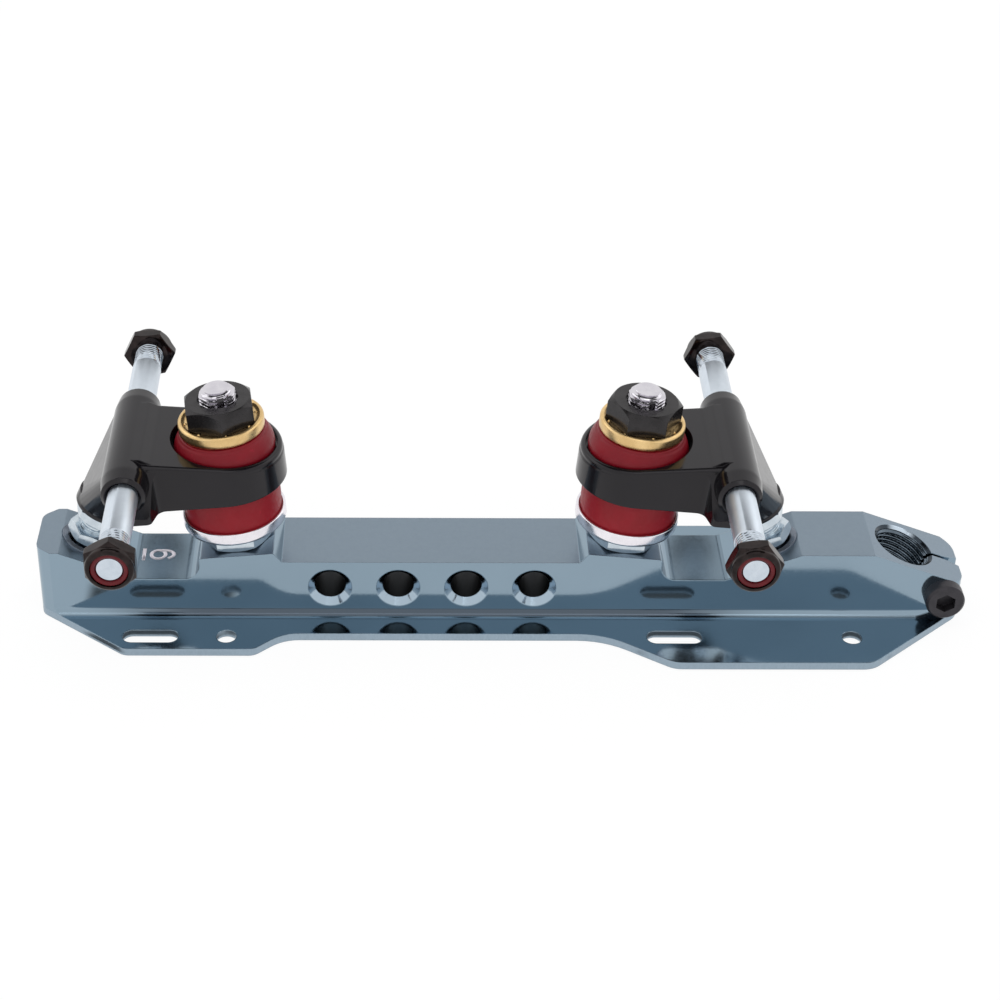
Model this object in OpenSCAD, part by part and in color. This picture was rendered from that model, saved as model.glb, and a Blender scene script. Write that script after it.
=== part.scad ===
// Roller skate plate: a forged plate that bolts under a boot sole, with two trucks that steer.
// X runs from heel to toe and is 0 midway between the axles. Y runs across the plate.
// Z is 0 on the sole face and the trucks stand up from it, as the plate lies on a bench.
// Each truck is drawn as the front one and mirrored for the rear.

/* [Plate] */
// Distance between the two axles
wheelbase = 160; // [152:1:180]
// How far the heel end reaches past the rear axle
heel_overhang = 26.8; // [26:0.1:34]
// How far the toe tip reaches past the front axle
toe_overhang = 66.2; // [64:0.1:76]
// Thickness of the flange under the boot sole
flange_t = 2.2; // [1.8:0.1:3]
// Width of the flange at the heel
heel_flange_w = 53.4; // [50:0.2:60]
// Width of the flange at the toe
toe_flange_w = 64.4; // [60:0.2:72]
// Width of the flange at the waist
waist_w = 39.6; // [34:0.2:46]
// Width of the spine
spine_w = 21.5; // [20:0.1:26]
// Height of the spine between the trucks
spine_h = 19.45; // [17:0.05:21]
// Height of the heel block and the toe block
block_h = 22.1; // [21.5:0.1:24]
// Height of the low pockets between kingpin and pivot
pocket_h = 13.9; // [12:0.1:15]
// Radius of the fillet where the spine meets the flange
foot_fillet = 2.2; // [1:0.1:3]
// Thickness of the spine's side walls beside the hollow underside
spine_wall = 3.4; // [2.5:0.1:4.5]
// Thickness of the low pockets' floors over the hollow underside
pocket_floor = 3.6; // [2.5:0.1:5]
// Depth of the hollow underside below the cross holes
channel_depth = 4.6; // [3:0.1:5]

/* [Lightening holes] */
// Diameter of the cross holes in the spine
cross_hole_d = 8.4; // [6:0.1:9]
// Diameter of their countersinks
cross_sink_d = 12; // [9.5:0.1:13]
// Distance between neighbouring cross holes
cross_pitch = 18.55; // [16:0.05:20]
// Height of the cross holes above the sole face
cross_z = 11; // [10:0.1:12]

/* [Boot bolts] */
// Diameter of the round bolt holes
bolt_hole_d = 5.5; // [4.5:0.1:6]
// Width of the bolt slots
slot_w = 5.5; // [4.5:0.1:6]
// Length of the bolt slots, end to end
slot_l = 15.2; // [10:0.1:18]
// Distance across the plate between the bolts of a pair
bolt_span = 42; // [39:0.1:44]

/* [Toe stop] */
// Diameter of the threaded toe stop bore
toe_bore_d = 15.9; // [14:0.1:17]
// Tilt of the toe slope and of the bore in it
toe_tilt = 20.5; // [14:0.5:24]
// Distance from the toe tip back to the bore's centre
toe_bore_back = 15.75; // [15:0.05:18]
// Width of the clamp slit
slit_w = 1.3; // [0.8:0.1:2]
// Diameter of the clamp screw
clamp_screw_d = 6; // [5:0.5:7]
// Diameter of the clamp screw's head
clamp_head_d = 10.6; // [9:0.1:12]

/* [Kingpin] */
// Distance from the axle inboard to the kingpin, on its boss
kingpin_back = 27.35; // [26:0.05:29]
// Outboard lean of the kingpin
kingpin_tilt = 5; // [0:0.5:8]
// Diameter of the kingpin
kingpin_d = 10; // [9:0.1:12]
// Height of the kingpin boss at the kingpin
kingpin_boss_h = 21.35; // [20.5:0.05:23]
// Width across the flats of the kingpin's nuts
kingpin_nut_af = 17.5; // [16:0.1:18]
// Thickness of the kingpin's lower jam nut
kingpin_jam_t = 5.3; // [4:0.1:6.5]
// Thickness of the kingpin's top nut
kingpin_nut_t = 6.3; // [5.5:0.1:9]

/* [Cushions] */
// Diameter of the inner cushion
inner_cushion_d = 26; // [23:0.1:27]
// Height of the inner cushion
inner_cushion_h = 16.8; // [14:0.1:19]
// Diameter of the outer cushion at the hanger
outer_cushion_d = 27; // [24:0.1:27.2]
// Diameter of the outer cushion at its retainer
outer_cushion_top_d = 23.4; // [20:0.1:25]
// Height of the outer cushion
outer_cushion_h = 7.2; // [6.5:0.1:10]
// Wall of the cupped retainers
retainer_wall = 1; // [0.7:0.1:1.2]
// Height of the inner retainer
inner_retainer_h = 3.9; // [3:0.1:4.5]
// Height of the outer retainer
outer_retainer_h = 4.4; // [4:0.1:5]
// Thickness of the outer retainer's floor under the nut
outer_retainer_floor = 2.9; // [1:0.1:3]

/* [Hanger] */
// Height of the axle above the sole face
axle_h = 48.4; // [46:0.1:52]
// Width of the hanger across the ends of its axle boss
hanger_w = 46; // [40:0.2:50]
// Outer diameter of the cushion ring
ring_d = 31.2; // [30:0.1:34]
// Inner diameter of the cushion ring
ring_bore_d = 28.2; // [27.6:0.1:29]
// Depth of the cup for the inner cushion
inner_cup_depth = 3.9; // [3:0.1:5]
// Depth of the cup for the outer cushion, at the kingpin
outer_cup_depth = 3.55; // [3:0.05:5]
// Thickness of the web between the cushions
web_t = 4; // [3:0.1:5]
// Diameter of the kingpin's clearance hole in the web
web_hole_d = 15; // [14:0.1:17]
// Diameter of the axle boss at its ends
boss_end_d = 11.6; // [11:0.1:12.2]
// Diameter of the axle boss at the arm
boss_d = 12.8; // [12.4:0.1:15]
// Diameter of the nose that holds the pivot pin
nose_d = 16; // [15:0.1:18]

/* [Pivot] */
// Distance from the axle outboard to the pivot cup, on its seat
pivot_out = 14.2; // [13.5:0.05:15]
// Tilt of the pivot cup and of its seat
pivot_tilt = 22; // [20:0.5:26]
// Inboard lean of the pivot pin, whose ball lets it differ from the cup's tilt
pin_tilt = 25; // [22:0.5:26]
// Diameter of the pivot pin's ball end
ball_d = 9.5; // [8.5:0.1:10]
// Depth of the ball's centre below the cup's seat
ball_depth = 7.7; // [7:0.1:8.5]
// Outer diameter of the pivot cup
pivot_cup_d = 13.6; // [13:0.1:14.4]
// Width across the flats of the pivot pin's hexagon
pin_hex_af = 11.4; // [10.5:0.1:12]
// Width across the flats of the pivot pin's jam nut
pivot_nut_af = 12.2; // [11.5:0.1:14]
// Diameter of the pivot pin's shank
pivot_pin_d = 8; // [7:0.1:9]

/* [Axle] */
// Diameter of the axle
axle_d = 8; // [7:0.1:8]
// Overall length of the axle
axle_l = 108.5; // [104:0.1:116]
// Length of the thread at each end of the axle
axle_thread_l = 12.3; // [11:0.1:13]
// Width across the flats of the axle nuts
axle_nut_af = 12.7; // [12.5:0.1:14]
// Length of an axle nut
axle_nut_l = 5.3; // [5:0.1:8]

/* [Hidden] */
$fn = 64;
// Clearances: a running fit, a seat that touches, a soft seat, and how far a cutter runs past a face
run_clear = 0.05;
seat_clear = 0.02;
soft_clear = 0.2;
past = 1;
// Points on one rounded corner of an outline
corner_steps = 6;

// Places along X
axle_x = wheelbase / 2;
kingpin_x = axle_x - kingpin_back;
pivot_x = axle_x + pivot_out;
heel_x = -axle_x - heel_overhang;
toe_x = axle_x + toe_overhang;

// Kingpin boss: its face is square to the kingpin, and reaches this far from it each way
boss_reach = 10.1;
boss_ramp = 2.2;
pocket_fillet_r = 4;
function boss_face_z(x) = kingpin_boss_h - (x - kingpin_x) * tan(kingpin_tilt);

// Pivot seat: a slope square to the pivot pin, from the block's top down to the low pocket
seat_reach = 6.3;
seat_top_x = pivot_x + seat_reach;
seat_z = block_h - seat_reach * tan(pivot_tilt);
seat_low_x = seat_top_x - (block_h - pocket_h) / tan(pivot_tilt);

// Toe slope and the clamp screw across its slit
slope_run = 25.7;
slope_top_x = toe_x - slope_run;
function slope_z(x) = block_h - (x - slope_top_x) * tan(toe_tilt);
toe_bore_x = toe_x - toe_bore_back;
toe_bore_r = toe_bore_d / 2;
clamp_x = toe_x - 5.6;
clamp_z = 9;
clamp_head_h = 3.8;
clamp_socket_af = 5;

// Underside channel: ribs stand between its bays, one of them on the middle
rib_t = 3;
cross_offset = 0.4;

// Distances up the kingpin from its boss face
inner_retainer_t = kingpin_jam_t + seat_clear;
inner_cushion_t = inner_retainer_t + retainer_wall + soft_clear;
web_bottom_t = inner_cushion_t + inner_cushion_h;
web_top_t = web_bottom_t + web_t;
ring_bottom_t = web_bottom_t - inner_cup_depth;
ring_top_t = web_top_t + outer_cup_depth;
outer_retainer_t = web_top_t + outer_cushion_h;
kingpin_nut_seat_t = outer_retainer_t + outer_retainer_floor + seat_clear;
kingpin_end = 2.6;
kingpin_top_t = kingpin_nut_seat_t + kingpin_nut_t + kingpin_end;
kingpin_foot_z = 2;
function kingpin_z(t, x) =
    kingpin_boss_h + t / cos(kingpin_tilt) - (x - kingpin_x) * tan(kingpin_tilt);

// Distances up the pivot pin from its ball's centre, and the cup's rim above its seat
nose_t = ball_depth + 11.6;
pivot_jam_t = 3.2;
pin_hex_t = 3.4;
pin_hex_bottom_t = ball_depth + 1.6;
pin_grip_l = 9;
pin_neck_d = 7.4;
cup_rim_t = 0.5;
cup_floor = 1.2;
cup_chamfer = 0.5;

// Arm of the hanger: its flat top rises toward the axle boss
arm_rise = 3.5;
ring_top_x = kingpin_x + ring_top_t * sin(kingpin_tilt);
ring_top_z = kingpin_boss_h + ring_top_t * cos(kingpin_tilt);
function arm_top_z(x) = ring_top_z + (x - ring_top_x) * tan(arm_rise);
ring_r = ring_d / 2;
arm_edge_r = 1.2;
arm_edge_out = ring_r + 0.12;
arm_half = ring_d;
boss_r = boss_d / 2;
boss_foot_x = axle_x - boss_r - 0.2;
boss_taper_l = 5.8;
boss_edge = 0.9;
bore_sink = 0.8;

// Axle and its nuts
nut_out_y = axle_l / 2 + 0.85;
nut_collar_l = 1.6;
nut_collar_r = axle_nut_af / 2 - 0.1;
nut_lip = 0.3;
insert_d = 9.7;
insert_l = 2.4;
thread_d = axle_d - 0.25;
axle_tip_d = thread_d - 0.6;
axle_tip_y = nut_out_y - nut_lip - insert_l;
axle_tip_edge = 0.35;

// A rounded corner at b of the line from a through b to c
function unit(v) = v / norm(v);
function turn(a) = a > 180 ? a - 360 : a < -180 ? a + 360 : a;
function around(centre, r, a) = centre + r * [cos(a), sin(a)];
function corner(a, b, c, r) =
    let (
        u = unit(a - b),
        w = unit(c - b),
        half = acos(u * w) / 2,
        centre = b + unit(u + w) * r / sin(half),
        from = b + u * r / tan(half) - centre,
        to = b + w * r / tan(half) - centre,
        start = atan2(from.y, from.x),
        sweep = turn(atan2(to.y, to.x) - start)
    )
    [for (i = [0:corner_steps]) around(centre, r, start + sweep * i / corner_steps)];
// An outline with rounded corners, from rows of x, y and corner radius: a radius of 0 stays sharp
function xy(row) = [row.x, row.y];
function rounded(rows) =
    let (n = len(rows))
    [for (i = [0:n - 1])
        each rows[i].z == 0 ? [xy(rows[i])]
            : corner(xy(rows[(i + n - 1) % n]), xy(rows[i]), xy(rows[(i + 1) % n]), rows[i].z)];
function reversed(rows) = [for (i = [len(rows) - 1:-1:0]) rows[i]];
function flip_y(rows) = [for (row = reversed(rows)) [row.x, -row.y, row.z]];
function flip_x(rows) = [for (row = reversed(rows)) [-row.x, row.y, row.z]];

// The plate's outline seen from above, as the right-hand half from heel to toe
heel_half = heel_flange_w / 2;
toe_half = toe_flange_w / 2;
waist_half = waist_w / 2;
heel_end_half = 7.6;
toe_end_half = 8.1;
heel_slant = 0.79;
toe_slant = 0.88;
heel_waist_slope = 0.9;
toe_waist_slope = 0.675;
heel_waist_x = -axle_x + 32.4;
toe_waist_x = axle_x - 33.1;
plate_half = [
    [heel_x, -heel_end_half, 4],
    [heel_x + (heel_half - heel_end_half) / heel_slant, -heel_half, 4],
    [heel_waist_x, -heel_half, 4],
    [heel_waist_x + (heel_half - waist_half) / heel_waist_slope, -waist_half, 11],
    [toe_waist_x, -waist_half, 24],
    [toe_waist_x + (toe_half - waist_half) / toe_waist_slope, -toe_half, 7],
    [toe_x - (toe_half - toe_end_half) / toe_slant, -toe_half, 7],
    [toe_x, -toe_end_half, 6]];

// The spine seen from the side, as the height line of the toe half from its middle outward
boss_in_x = kingpin_x - boss_reach;
boss_out_x = kingpin_x + boss_reach;
half_rise = [
    [boss_in_x - boss_ramp, spine_h, 0],
    [boss_in_x, boss_face_z(boss_in_x), 0],
    [boss_out_x, boss_face_z(boss_out_x), 0.8],
    [boss_out_x, pocket_h, pocket_fillet_r],
    [seat_low_x, pocket_h, 1.5],
    [seat_top_x, block_h, 0]];
spine_side = concat(
    [[heel_x - past, 0, 0], [heel_x - past, block_h, 0]],
    flip_x(half_rise),
    half_rise,
    [[slope_top_x, block_h, 0], [toe_x + past, slope_z(toe_x + past), 0], [toe_x + past, 0, 0]]);

// Places of the four pairs of boot bolts
rear_slot_x = -axle_x + 4.2;
rear_hole_x = -axle_x + 24.7;
front_slot_x = axle_x - 13.8;
front_hole_x = axle_x + 34.6;

// Draws its children at the front truck, or mirrored at the rear truck
module front_end() children();
module rear_end() mirror([1, 0, 0]) children();
// Puts the origin on the kingpin's boss face, Z along the kingpin
module on_kingpin(t = 0)
    translate([kingpin_x, 0, kingpin_boss_h]) rotate([0, kingpin_tilt, 0]) translate([0, 0, t]) children();
// Puts the origin on the pivot seat, Z along the cup
module on_pivot(t = 0)
    translate([pivot_x, 0, seat_z]) rotate([0, -pivot_tilt, 0]) translate([0, 0, t]) children();
// Puts the origin on the centre of the pivot pin's ball, Z along the pin
module on_pin(t = 0)
    on_pivot(-ball_depth) rotate([0, pivot_tilt - pin_tilt, 0]) translate([0, 0, t]) children();
// Puts the origin on the middle of the ring's top, X along the arm's flat top
module on_arm_top() translate([ring_top_x, 0, ring_top_z]) rotate([0, -arm_rise, 0]) children();
// Puts the origin on the toe slope, Z square to it
module on_slope(x) translate([x, 0, slope_z(x)]) rotate([0, toe_tilt, 0]) children();
// Puts the origin on the axle, Z along it toward +Y or -Y
module on_axle(side) translate([axle_x, 0, axle_h]) rotate([-90 * side, 0, 0]) children();
// Extrudes an outline in X and Z across the plate
module across(width)
    rotate([90, 0, 0]) translate([0, 0, -width / 2]) linear_extrude(height = width) children();
// Cuts straight down through the plate's flange
module through_flange() translate([0, 0, -past]) linear_extrude(height = flange_t + 2 * past) children();

// A hexagonal prism with both ends chamfered to a circle
module hex_body(af, h, bevel = 0.6) {
    flat_r = af / 2 - 0.2;
    wide_r = flat_r + bevel * 1.8;
    intersection() {
        cylinder(r = af / 2 / cos(30), h = h, $fn = 6);
        rotate_extrude()
            polygon([[0, 0], [flat_r, 0], [wide_r, bevel], [wide_r, h - bevel], [flat_r, h], [0, h]]);
    }
}
// A nut: a hexagon with a bore countersunk at both ends
module hex_nut(af, h, bore_d, bevel = 0.6) difference() {
    bore_r = bore_d / 2 + seat_clear;
    sink = 0.5;
    hex_body(af, h, bevel);
    rotate_extrude() polygon([
        [0, -past], [bore_r + sink, -past], [bore_r + sink, 0], [bore_r, sink],
        [bore_r, h - sink], [bore_r + sink, h], [bore_r + sink, h + past], [0, h + past]]);
}

// Plate
module plate_outline() polygon(rounded(concat(plate_half, flip_y(plate_half))));
// The fillets along the foot of the spine
module spine_foot() for (s = [0, 1]) mirror([0, s, 0])
    translate([heel_x - past, spine_w / 2, flange_t]) rotate([90, 0, 90])
        linear_extrude(height = toe_x - heel_x + 2 * past) difference() {
            translate([-past, -past]) square(foot_fillet + past);
            translate([foot_fillet, foot_fillet]) circle(r = foot_fillet);
        }
module bolt_holes(x) for (s = [-1, 1])
    translate([x, s * bolt_span / 2, 0]) through_flange() circle(d = bolt_hole_d);
module bolt_slots(x) for (s = [-1, 1]) translate([x, s * bolt_span / 2, 0]) through_flange() {
    straight = slot_l - slot_w;
    for (e = [-1, 1]) translate([e * straight / 2, 0]) circle(d = slot_w);
    square([straight, slot_w], center = true);
}
module cross_holes() for (i = [-1.5:1:1.5]) translate([i * cross_pitch + cross_offset, 0, cross_z]) {
    sink = (cross_sink_d - cross_hole_d) / 2;
    rotate([90, 0, 0]) cylinder(d = cross_hole_d, h = spine_w + 2 * past, center = true);
    for (s = [-1, 1]) translate([0, s * spine_w / 2, 0]) rotate([s * 90, 0, 0])
        translate([0, 0, -past]) cylinder(d1 = cross_sink_d + 2 * past, d2 = cross_hole_d, h = sink + past);
}
module hollow(x1, x2, h)
    translate([x1, spine_wall - spine_w / 2, -past]) cube([x2 - x1, spine_w - 2 * spine_wall, h + past]);
module underside_hollows() for (s = [0, 1]) mirror([s, 0, 0]) {
    for (i = [0, 1]) hollow(i * cross_pitch + rib_t / 2, (i + 1) * cross_pitch - rib_t / 2, channel_depth);
    hollow(boss_out_x - 0.5, pivot_x - pivot_cup_d / 2 - 1, pocket_h - pocket_floor);
}
module clamp_cuts() {
    flare_l = 3.8;
    flare_w = slit_w / 2 + 1.1;
    translate([toe_bore_x, -slit_w / 2, -past]) cube([toe_bore_back + past, slit_w, block_h + 2 * past]);
    translate([0, 0, -past]) linear_extrude(height = block_h + 2 * past) polygon([
        [toe_x - flare_l, -slit_w / 2], [toe_x, -flare_w], [toe_x + past, -flare_w],
        [toe_x + past, flare_w], [toe_x, flare_w], [toe_x - flare_l, slit_w / 2]]);
    translate([clamp_x, 0, clamp_z]) rotate([90, 0, 0]) {
        cylinder(d = clamp_screw_d + 2 * seat_clear, h = spine_w + 2 * past, center = true);
        translate([0, 0, spine_w / 2]) cylinder(d = clamp_head_d + 0.6, h = toe_half);
    }
}
module plate_body() color([0.52, 0.57, 0.63]) difference() {
    intersection() {
        linear_extrude(height = block_h + past) plate_outline();
        union() {
            linear_extrude(height = flange_t) plate_outline();
            across(spine_w) polygon(rounded(spine_side));
            spine_foot();
        }
    }
    underside_hollows();
    cross_holes();
    for (x = [rear_slot_x, front_slot_x]) bolt_slots(x);
    for (x = [rear_hole_x, front_hole_x]) bolt_holes(x);
    for (s = [0, 1]) mirror([s, 0, 0]) {
        on_kingpin(-2 * kingpin_boss_h) cylinder(d = kingpin_d + 2 * seat_clear, h = 3 * kingpin_boss_h);
        on_pivot(-ball_depth - ball_d / 2 - cup_floor - seat_clear)
            cylinder(d = pivot_cup_d + 2 * seat_clear, h = 2 * block_h);
    }
    on_slope(toe_bore_x) {
        edge = 0.8;
        cylinder(d = toe_bore_d, h = 3 * block_h, center = true);
        translate([0, 0, -edge]) cylinder(r1 = toe_bore_r, r2 = toe_bore_r + edge + past, h = edge + past);
    }
    clamp_cuts();
}
// The screw that draws the toe's slit together, its head on the right-hand side
module toe_clamp_screw() color([0.13, 0.13, 0.14])
    translate([clamp_x, 0, clamp_z]) rotate([90, 0, 0]) difference() {
        edge = 0.6;
        head_t = spine_w / 2 + seat_clear;
        union() {
            translate([0, 0, edge - spine_w / 2]) cylinder(d = clamp_screw_d, h = spine_w);
            translate([0, 0, head_t]) rotate_extrude() polygon([
                [0, 0], [clamp_head_d / 2, 0], [clamp_head_d / 2, clamp_head_h - edge],
                [clamp_head_d / 2 - edge, clamp_head_h], [0, clamp_head_h]]);
        }
        translate([0, 0, head_t + clamp_head_h / 4])
            cylinder(d = clamp_socket_af / cos(30), h = clamp_head_h, $fn = 6);
    }

// Kingpin stack, all of it carried by the plate
module kingpin() color([0.80, 0.80, 0.82]) {
    foot_t = (kingpin_foot_z - kingpin_boss_h) / cos(kingpin_tilt);
    edge = 1.3;
    on_kingpin(foot_t) cylinder(d = kingpin_d, h = kingpin_top_t - foot_t - edge);
    on_kingpin(kingpin_top_t - edge) cylinder(d1 = kingpin_d, d2 = kingpin_d - 2.5, h = edge);
}
module kingpin_jam_nut() color([0.78, 0.79, 0.80])
    on_kingpin(seat_clear) hex_nut(kingpin_nut_af, kingpin_jam_t - seat_clear, kingpin_d);
module kingpin_nut(spin) color([0.16, 0.16, 0.17])
    on_kingpin(kingpin_nut_seat_t) rotate([0, 0, spin]) hex_nut(kingpin_nut_af, kingpin_nut_t, kingpin_d, 0.9);
// A dished washer, its rim turned up and its lower edge rounded
module retainer(r, h, floor_t) rotate_extrude() {
    bend = 1.4;
    bore_r = kingpin_d / 2 + seat_clear;
    polygon(rounded([
        [bore_r, 0, 0], [r, 0, bend], [r, h, 0.4], [r - retainer_wall, h, 0.4],
        [r - retainer_wall, floor_t, 0.5], [bore_r, floor_t, 0]]));
}
module inner_retainer() color([0.80, 0.81, 0.82])
    on_kingpin(inner_retainer_t)
        retainer(inner_cushion_d / 2 + run_clear + retainer_wall, inner_retainer_h, retainer_wall);
module outer_retainer() color([0.78, 0.63, 0.35])
    on_kingpin(outer_retainer_t)
        retainer(outer_cushion_top_d / 2 - soft_clear, outer_retainer_h, outer_retainer_floor);
module inner_cushion() color([0.45, 0.06, 0.10]) on_kingpin(inner_cushion_t) rotate_extrude() {
    r = inner_cushion_d / 2;
    bore_r = kingpin_d / 2 + soft_clear;
    polygon(rounded([
        [bore_r, 0, 0], [r, 0, 0.8], [r, inner_cushion_h, 1.2], [bore_r, inner_cushion_h, 0]]));
}
module outer_cushion() color([0.45, 0.06, 0.10]) on_kingpin(web_top_t) rotate_extrude() {
    r = outer_cushion_d / 2;
    bore_r = kingpin_d / 2 + soft_clear;
    h = outer_cushion_h - soft_clear;
    polygon(rounded([
        [bore_r, 0, 0], [r, 0, 0.6], [r - 0.1, h * 0.5, 3], [outer_cushion_top_d / 2, h, 0.4],
        [bore_r, h, 0]]));
}

// Pivot cup, pressed into the plate, with a round seat for the ball
module pivot_cup() color([0.55, 0.55, 0.60]) {
    ball_r = ball_d / 2 + run_clear;
    base_t = -ball_depth - ball_d / 2 - cup_floor;
    on_pivot() difference() {
        translate([0, 0, base_t]) cylinder(d = pivot_cup_d, h = cup_rim_t - base_t);
        translate([0, 0, -ball_depth]) sphere(r = ball_r);
        translate([0, 0, -ball_depth]) cylinder(r = ball_r, h = ball_depth + cup_rim_t + past);
        translate([0, 0, cup_rim_t - cup_chamfer])
            cylinder(r1 = ball_r, r2 = ball_r + cup_chamfer + past, h = cup_chamfer + past);
    }
}

// Hanger: the arm and its ring as one blade, the boss round the axle and the nose for the pivot pin
module arm_side() across(hanger_w) polygon([
    [kingpin_x - arm_half, kingpin_z(ring_bottom_t, kingpin_x - arm_half)],
    [kingpin_x - arm_half, arm_top_z(kingpin_x - arm_half) + past],
    [axle_x, arm_top_z(axle_x) + past],
    [axle_x, kingpin_z(ring_bottom_t, axle_x)]]);
// The arm seen along the kingpin: the ring, the arm and the fillets from its sides out to the boss
module arm_plan() on_kingpin() linear_extrude(height = 2 * axle_h) {
    arm_l = axle_x - kingpin_x - 3;
    wide = hanger_w / 2 - 1.5;
    circle(d = ring_d);
    translate([0, -ring_r]) square([arm_l, ring_d]);
    for (s = [0, 1]) mirror([0, s]) polygon(rounded([
        [arm_l / 2, 0, 0], [arm_l / 2, ring_r, 0], [arm_l - boss_r - 0.5, ring_r, 2.5],
        [arm_l - boss_r + 1.2, wide, 1.5], [arm_l, wide, 0], [arm_l, 0, 0]]));
}
// The rounded top edge of the blade: its section, spun round the ring and drawn along the arm
edge_section = [
    [0, -arm_half, 0], [ring_r + arm_half / 2, -arm_half, 0], [arm_edge_out, -arm_edge_r * 1.3, 0],
    [arm_edge_out, 0, arm_edge_r], [0, 0, 0]];
module arm_edges() on_arm_top() {
    rotate_extrude() polygon(rounded(edge_section));
    rotate([90, 0, 90]) linear_extrude(height = arm_half) for (s = [0, 1]) mirror([s, 0])
        polygon(rounded(edge_section));
}
// The step from the arm's flat top up to the boss
module boss_step() across(ring_d - 2 * arm_edge_r) polygon(rounded([
    [boss_foot_x - 3, arm_top_z(boss_foot_x - 3) - past, 0],
    [boss_foot_x - 3, arm_top_z(boss_foot_x - 3), 0],
    [boss_foot_x, arm_top_z(boss_foot_x), 2.5],
    [axle_x - boss_r * 0.6, axle_h + boss_r - 0.15, 1.5],
    [axle_x, axle_h + boss_r - 0.15, 0],
    [axle_x, arm_top_z(axle_x) - past, 0]]));
module axle_boss() translate([axle_x, 0, axle_h]) rotate([90, 0, 0]) rotate_extrude() {
    end_r = boss_end_d / 2;
    end_y = hanger_w / 2;
    polygon([
        [0, -end_y], [end_r - boss_edge, -end_y], [end_r, boss_edge - end_y], [boss_r, boss_taper_l - end_y],
        [boss_r, end_y - boss_taper_l], [end_r, end_y - boss_edge], [end_r - boss_edge, end_y], [0, end_y]]);
}
module nose_gusset() hull() {
    on_pin(nose_t + 1.2) cylinder(d = nose_d - 0.6, h = 2, $fn = 32);
    translate([axle_x, 0, axle_h]) rotate([90, 0, 0])
        cylinder(d = boss_d - 0.8, h = hanger_w - 2 * boss_taper_l, center = true, $fn = 32);
}
module nose() on_pin(nose_t) rotate_extrude()
    polygon(rounded([[0, 0, 0], [nose_d / 2, 0, 1.2], [nose_d / 2, 4, 0], [0, 4, 0]]));
module axle_bore() translate([axle_x, 0, axle_h]) rotate([90, 0, 0]) rotate_extrude() {
    r = axle_d / 2 + seat_clear;
    end_y = hanger_w / 2;
    polygon([
        [0, -end_y - past], [r + bore_sink, -end_y - past], [r + bore_sink, -end_y], [r, bore_sink - end_y],
        [r, end_y - bore_sink], [r + bore_sink, end_y], [r + bore_sink, end_y + past], [0, end_y + past]]);
}
module hanger() color([0.17, 0.17, 0.18]) difference() {
    union() {
        intersection() {
            arm_side();
            arm_plan();
            arm_edges();
        }
        boss_step();
        axle_boss();
        nose_gusset();
        nose();
    }
    on_kingpin(web_top_t) cylinder(d = ring_bore_d, h = 3 * outer_cup_depth);
    on_kingpin(web_bottom_t - 3 * inner_cup_depth) cylinder(d = ring_bore_d, h = 3 * inner_cup_depth);
    on_kingpin(web_bottom_t - past) cylinder(d = web_hole_d, h = web_t + 2 * past);
    axle_bore();
    on_pin(nose_t - past) cylinder(d = pivot_pin_d + 2 * seat_clear, h = past + pin_grip_l);
}

// Pivot pin: a threaded shank, a hexagon, a neck and a ball
module pivot_pin() color([0.80, 0.82, 0.84]) {
    hex_top_t = pin_hex_bottom_t + pin_hex_t;
    on_pin(pin_hex_bottom_t) hex_body(pin_hex_af, pin_hex_t, 1);
    on_pin(hex_top_t) cylinder(d = pivot_pin_d, h = nose_t + pin_grip_l - seat_clear - hex_top_t);
    on_pin() cylinder(d = pin_neck_d, h = pin_hex_bottom_t);
    on_pin() sphere(d = ball_d);
}
module pivot_jam_nut(spin) color([0.80, 0.82, 0.84]) on_pin(nose_t - pivot_jam_t) rotate([0, 0, spin])
    hex_nut(pivot_nut_af, pivot_jam_t - seat_clear, pivot_pin_d);

// Axle, threaded and turned down at its ends, and its lock nuts with a soft locking ring
module axle() color([0.80, 0.80, 0.78]) on_axle(1) {
    shaft_y = axle_l / 2 - axle_thread_l;
    cylinder(d = axle_d, h = 2 * shaft_y, center = true);
    for (s = [0, 1]) mirror([0, 0, s]) rotate_extrude() polygon([
        [0, 0], [thread_d / 2, 0], [thread_d / 2, axle_tip_y], [axle_tip_d / 2, axle_tip_y],
        [axle_tip_d / 2, axle_l / 2 - axle_tip_edge], [axle_tip_d / 2 - axle_tip_edge, axle_l / 2],
        [0, axle_l / 2]]);
}
module axle_nut(side, spin) color([0.17, 0.15, 0.15])
    on_axle(side) translate([0, 0, nut_out_y - axle_nut_l]) rotate([0, 0, spin]) difference() {
        insert_t = axle_nut_l - nut_lip - insert_l;
        union() {
            hex_body(axle_nut_af, axle_nut_l - nut_collar_l, 0.7);
            rotate_extrude() polygon(rounded([
                [0, 0.5, 0], [nut_collar_r, 0.5, 0], [nut_collar_r, axle_nut_l, 1.1], [0, axle_nut_l, 0]]));
        }
        translate([0, 0, -past]) cylinder(d = thread_d + 2 * seat_clear, h = axle_nut_l + 2 * past);
        translate([0, 0, insert_t]) cylinder(d = insert_d + 2 * seat_clear, h = axle_nut_l);
    }
module nut_insert(side) color([0.42, 0.07, 0.09])
    on_axle(side) translate([0, 0, nut_out_y - nut_lip - insert_l + seat_clear]) difference() {
        cylinder(d = insert_d, h = insert_l);
        translate([0, 0, -past]) cylinder(d = axle_tip_d + 2 * seat_clear, h = insert_l + 2 * past);
    }

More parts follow.
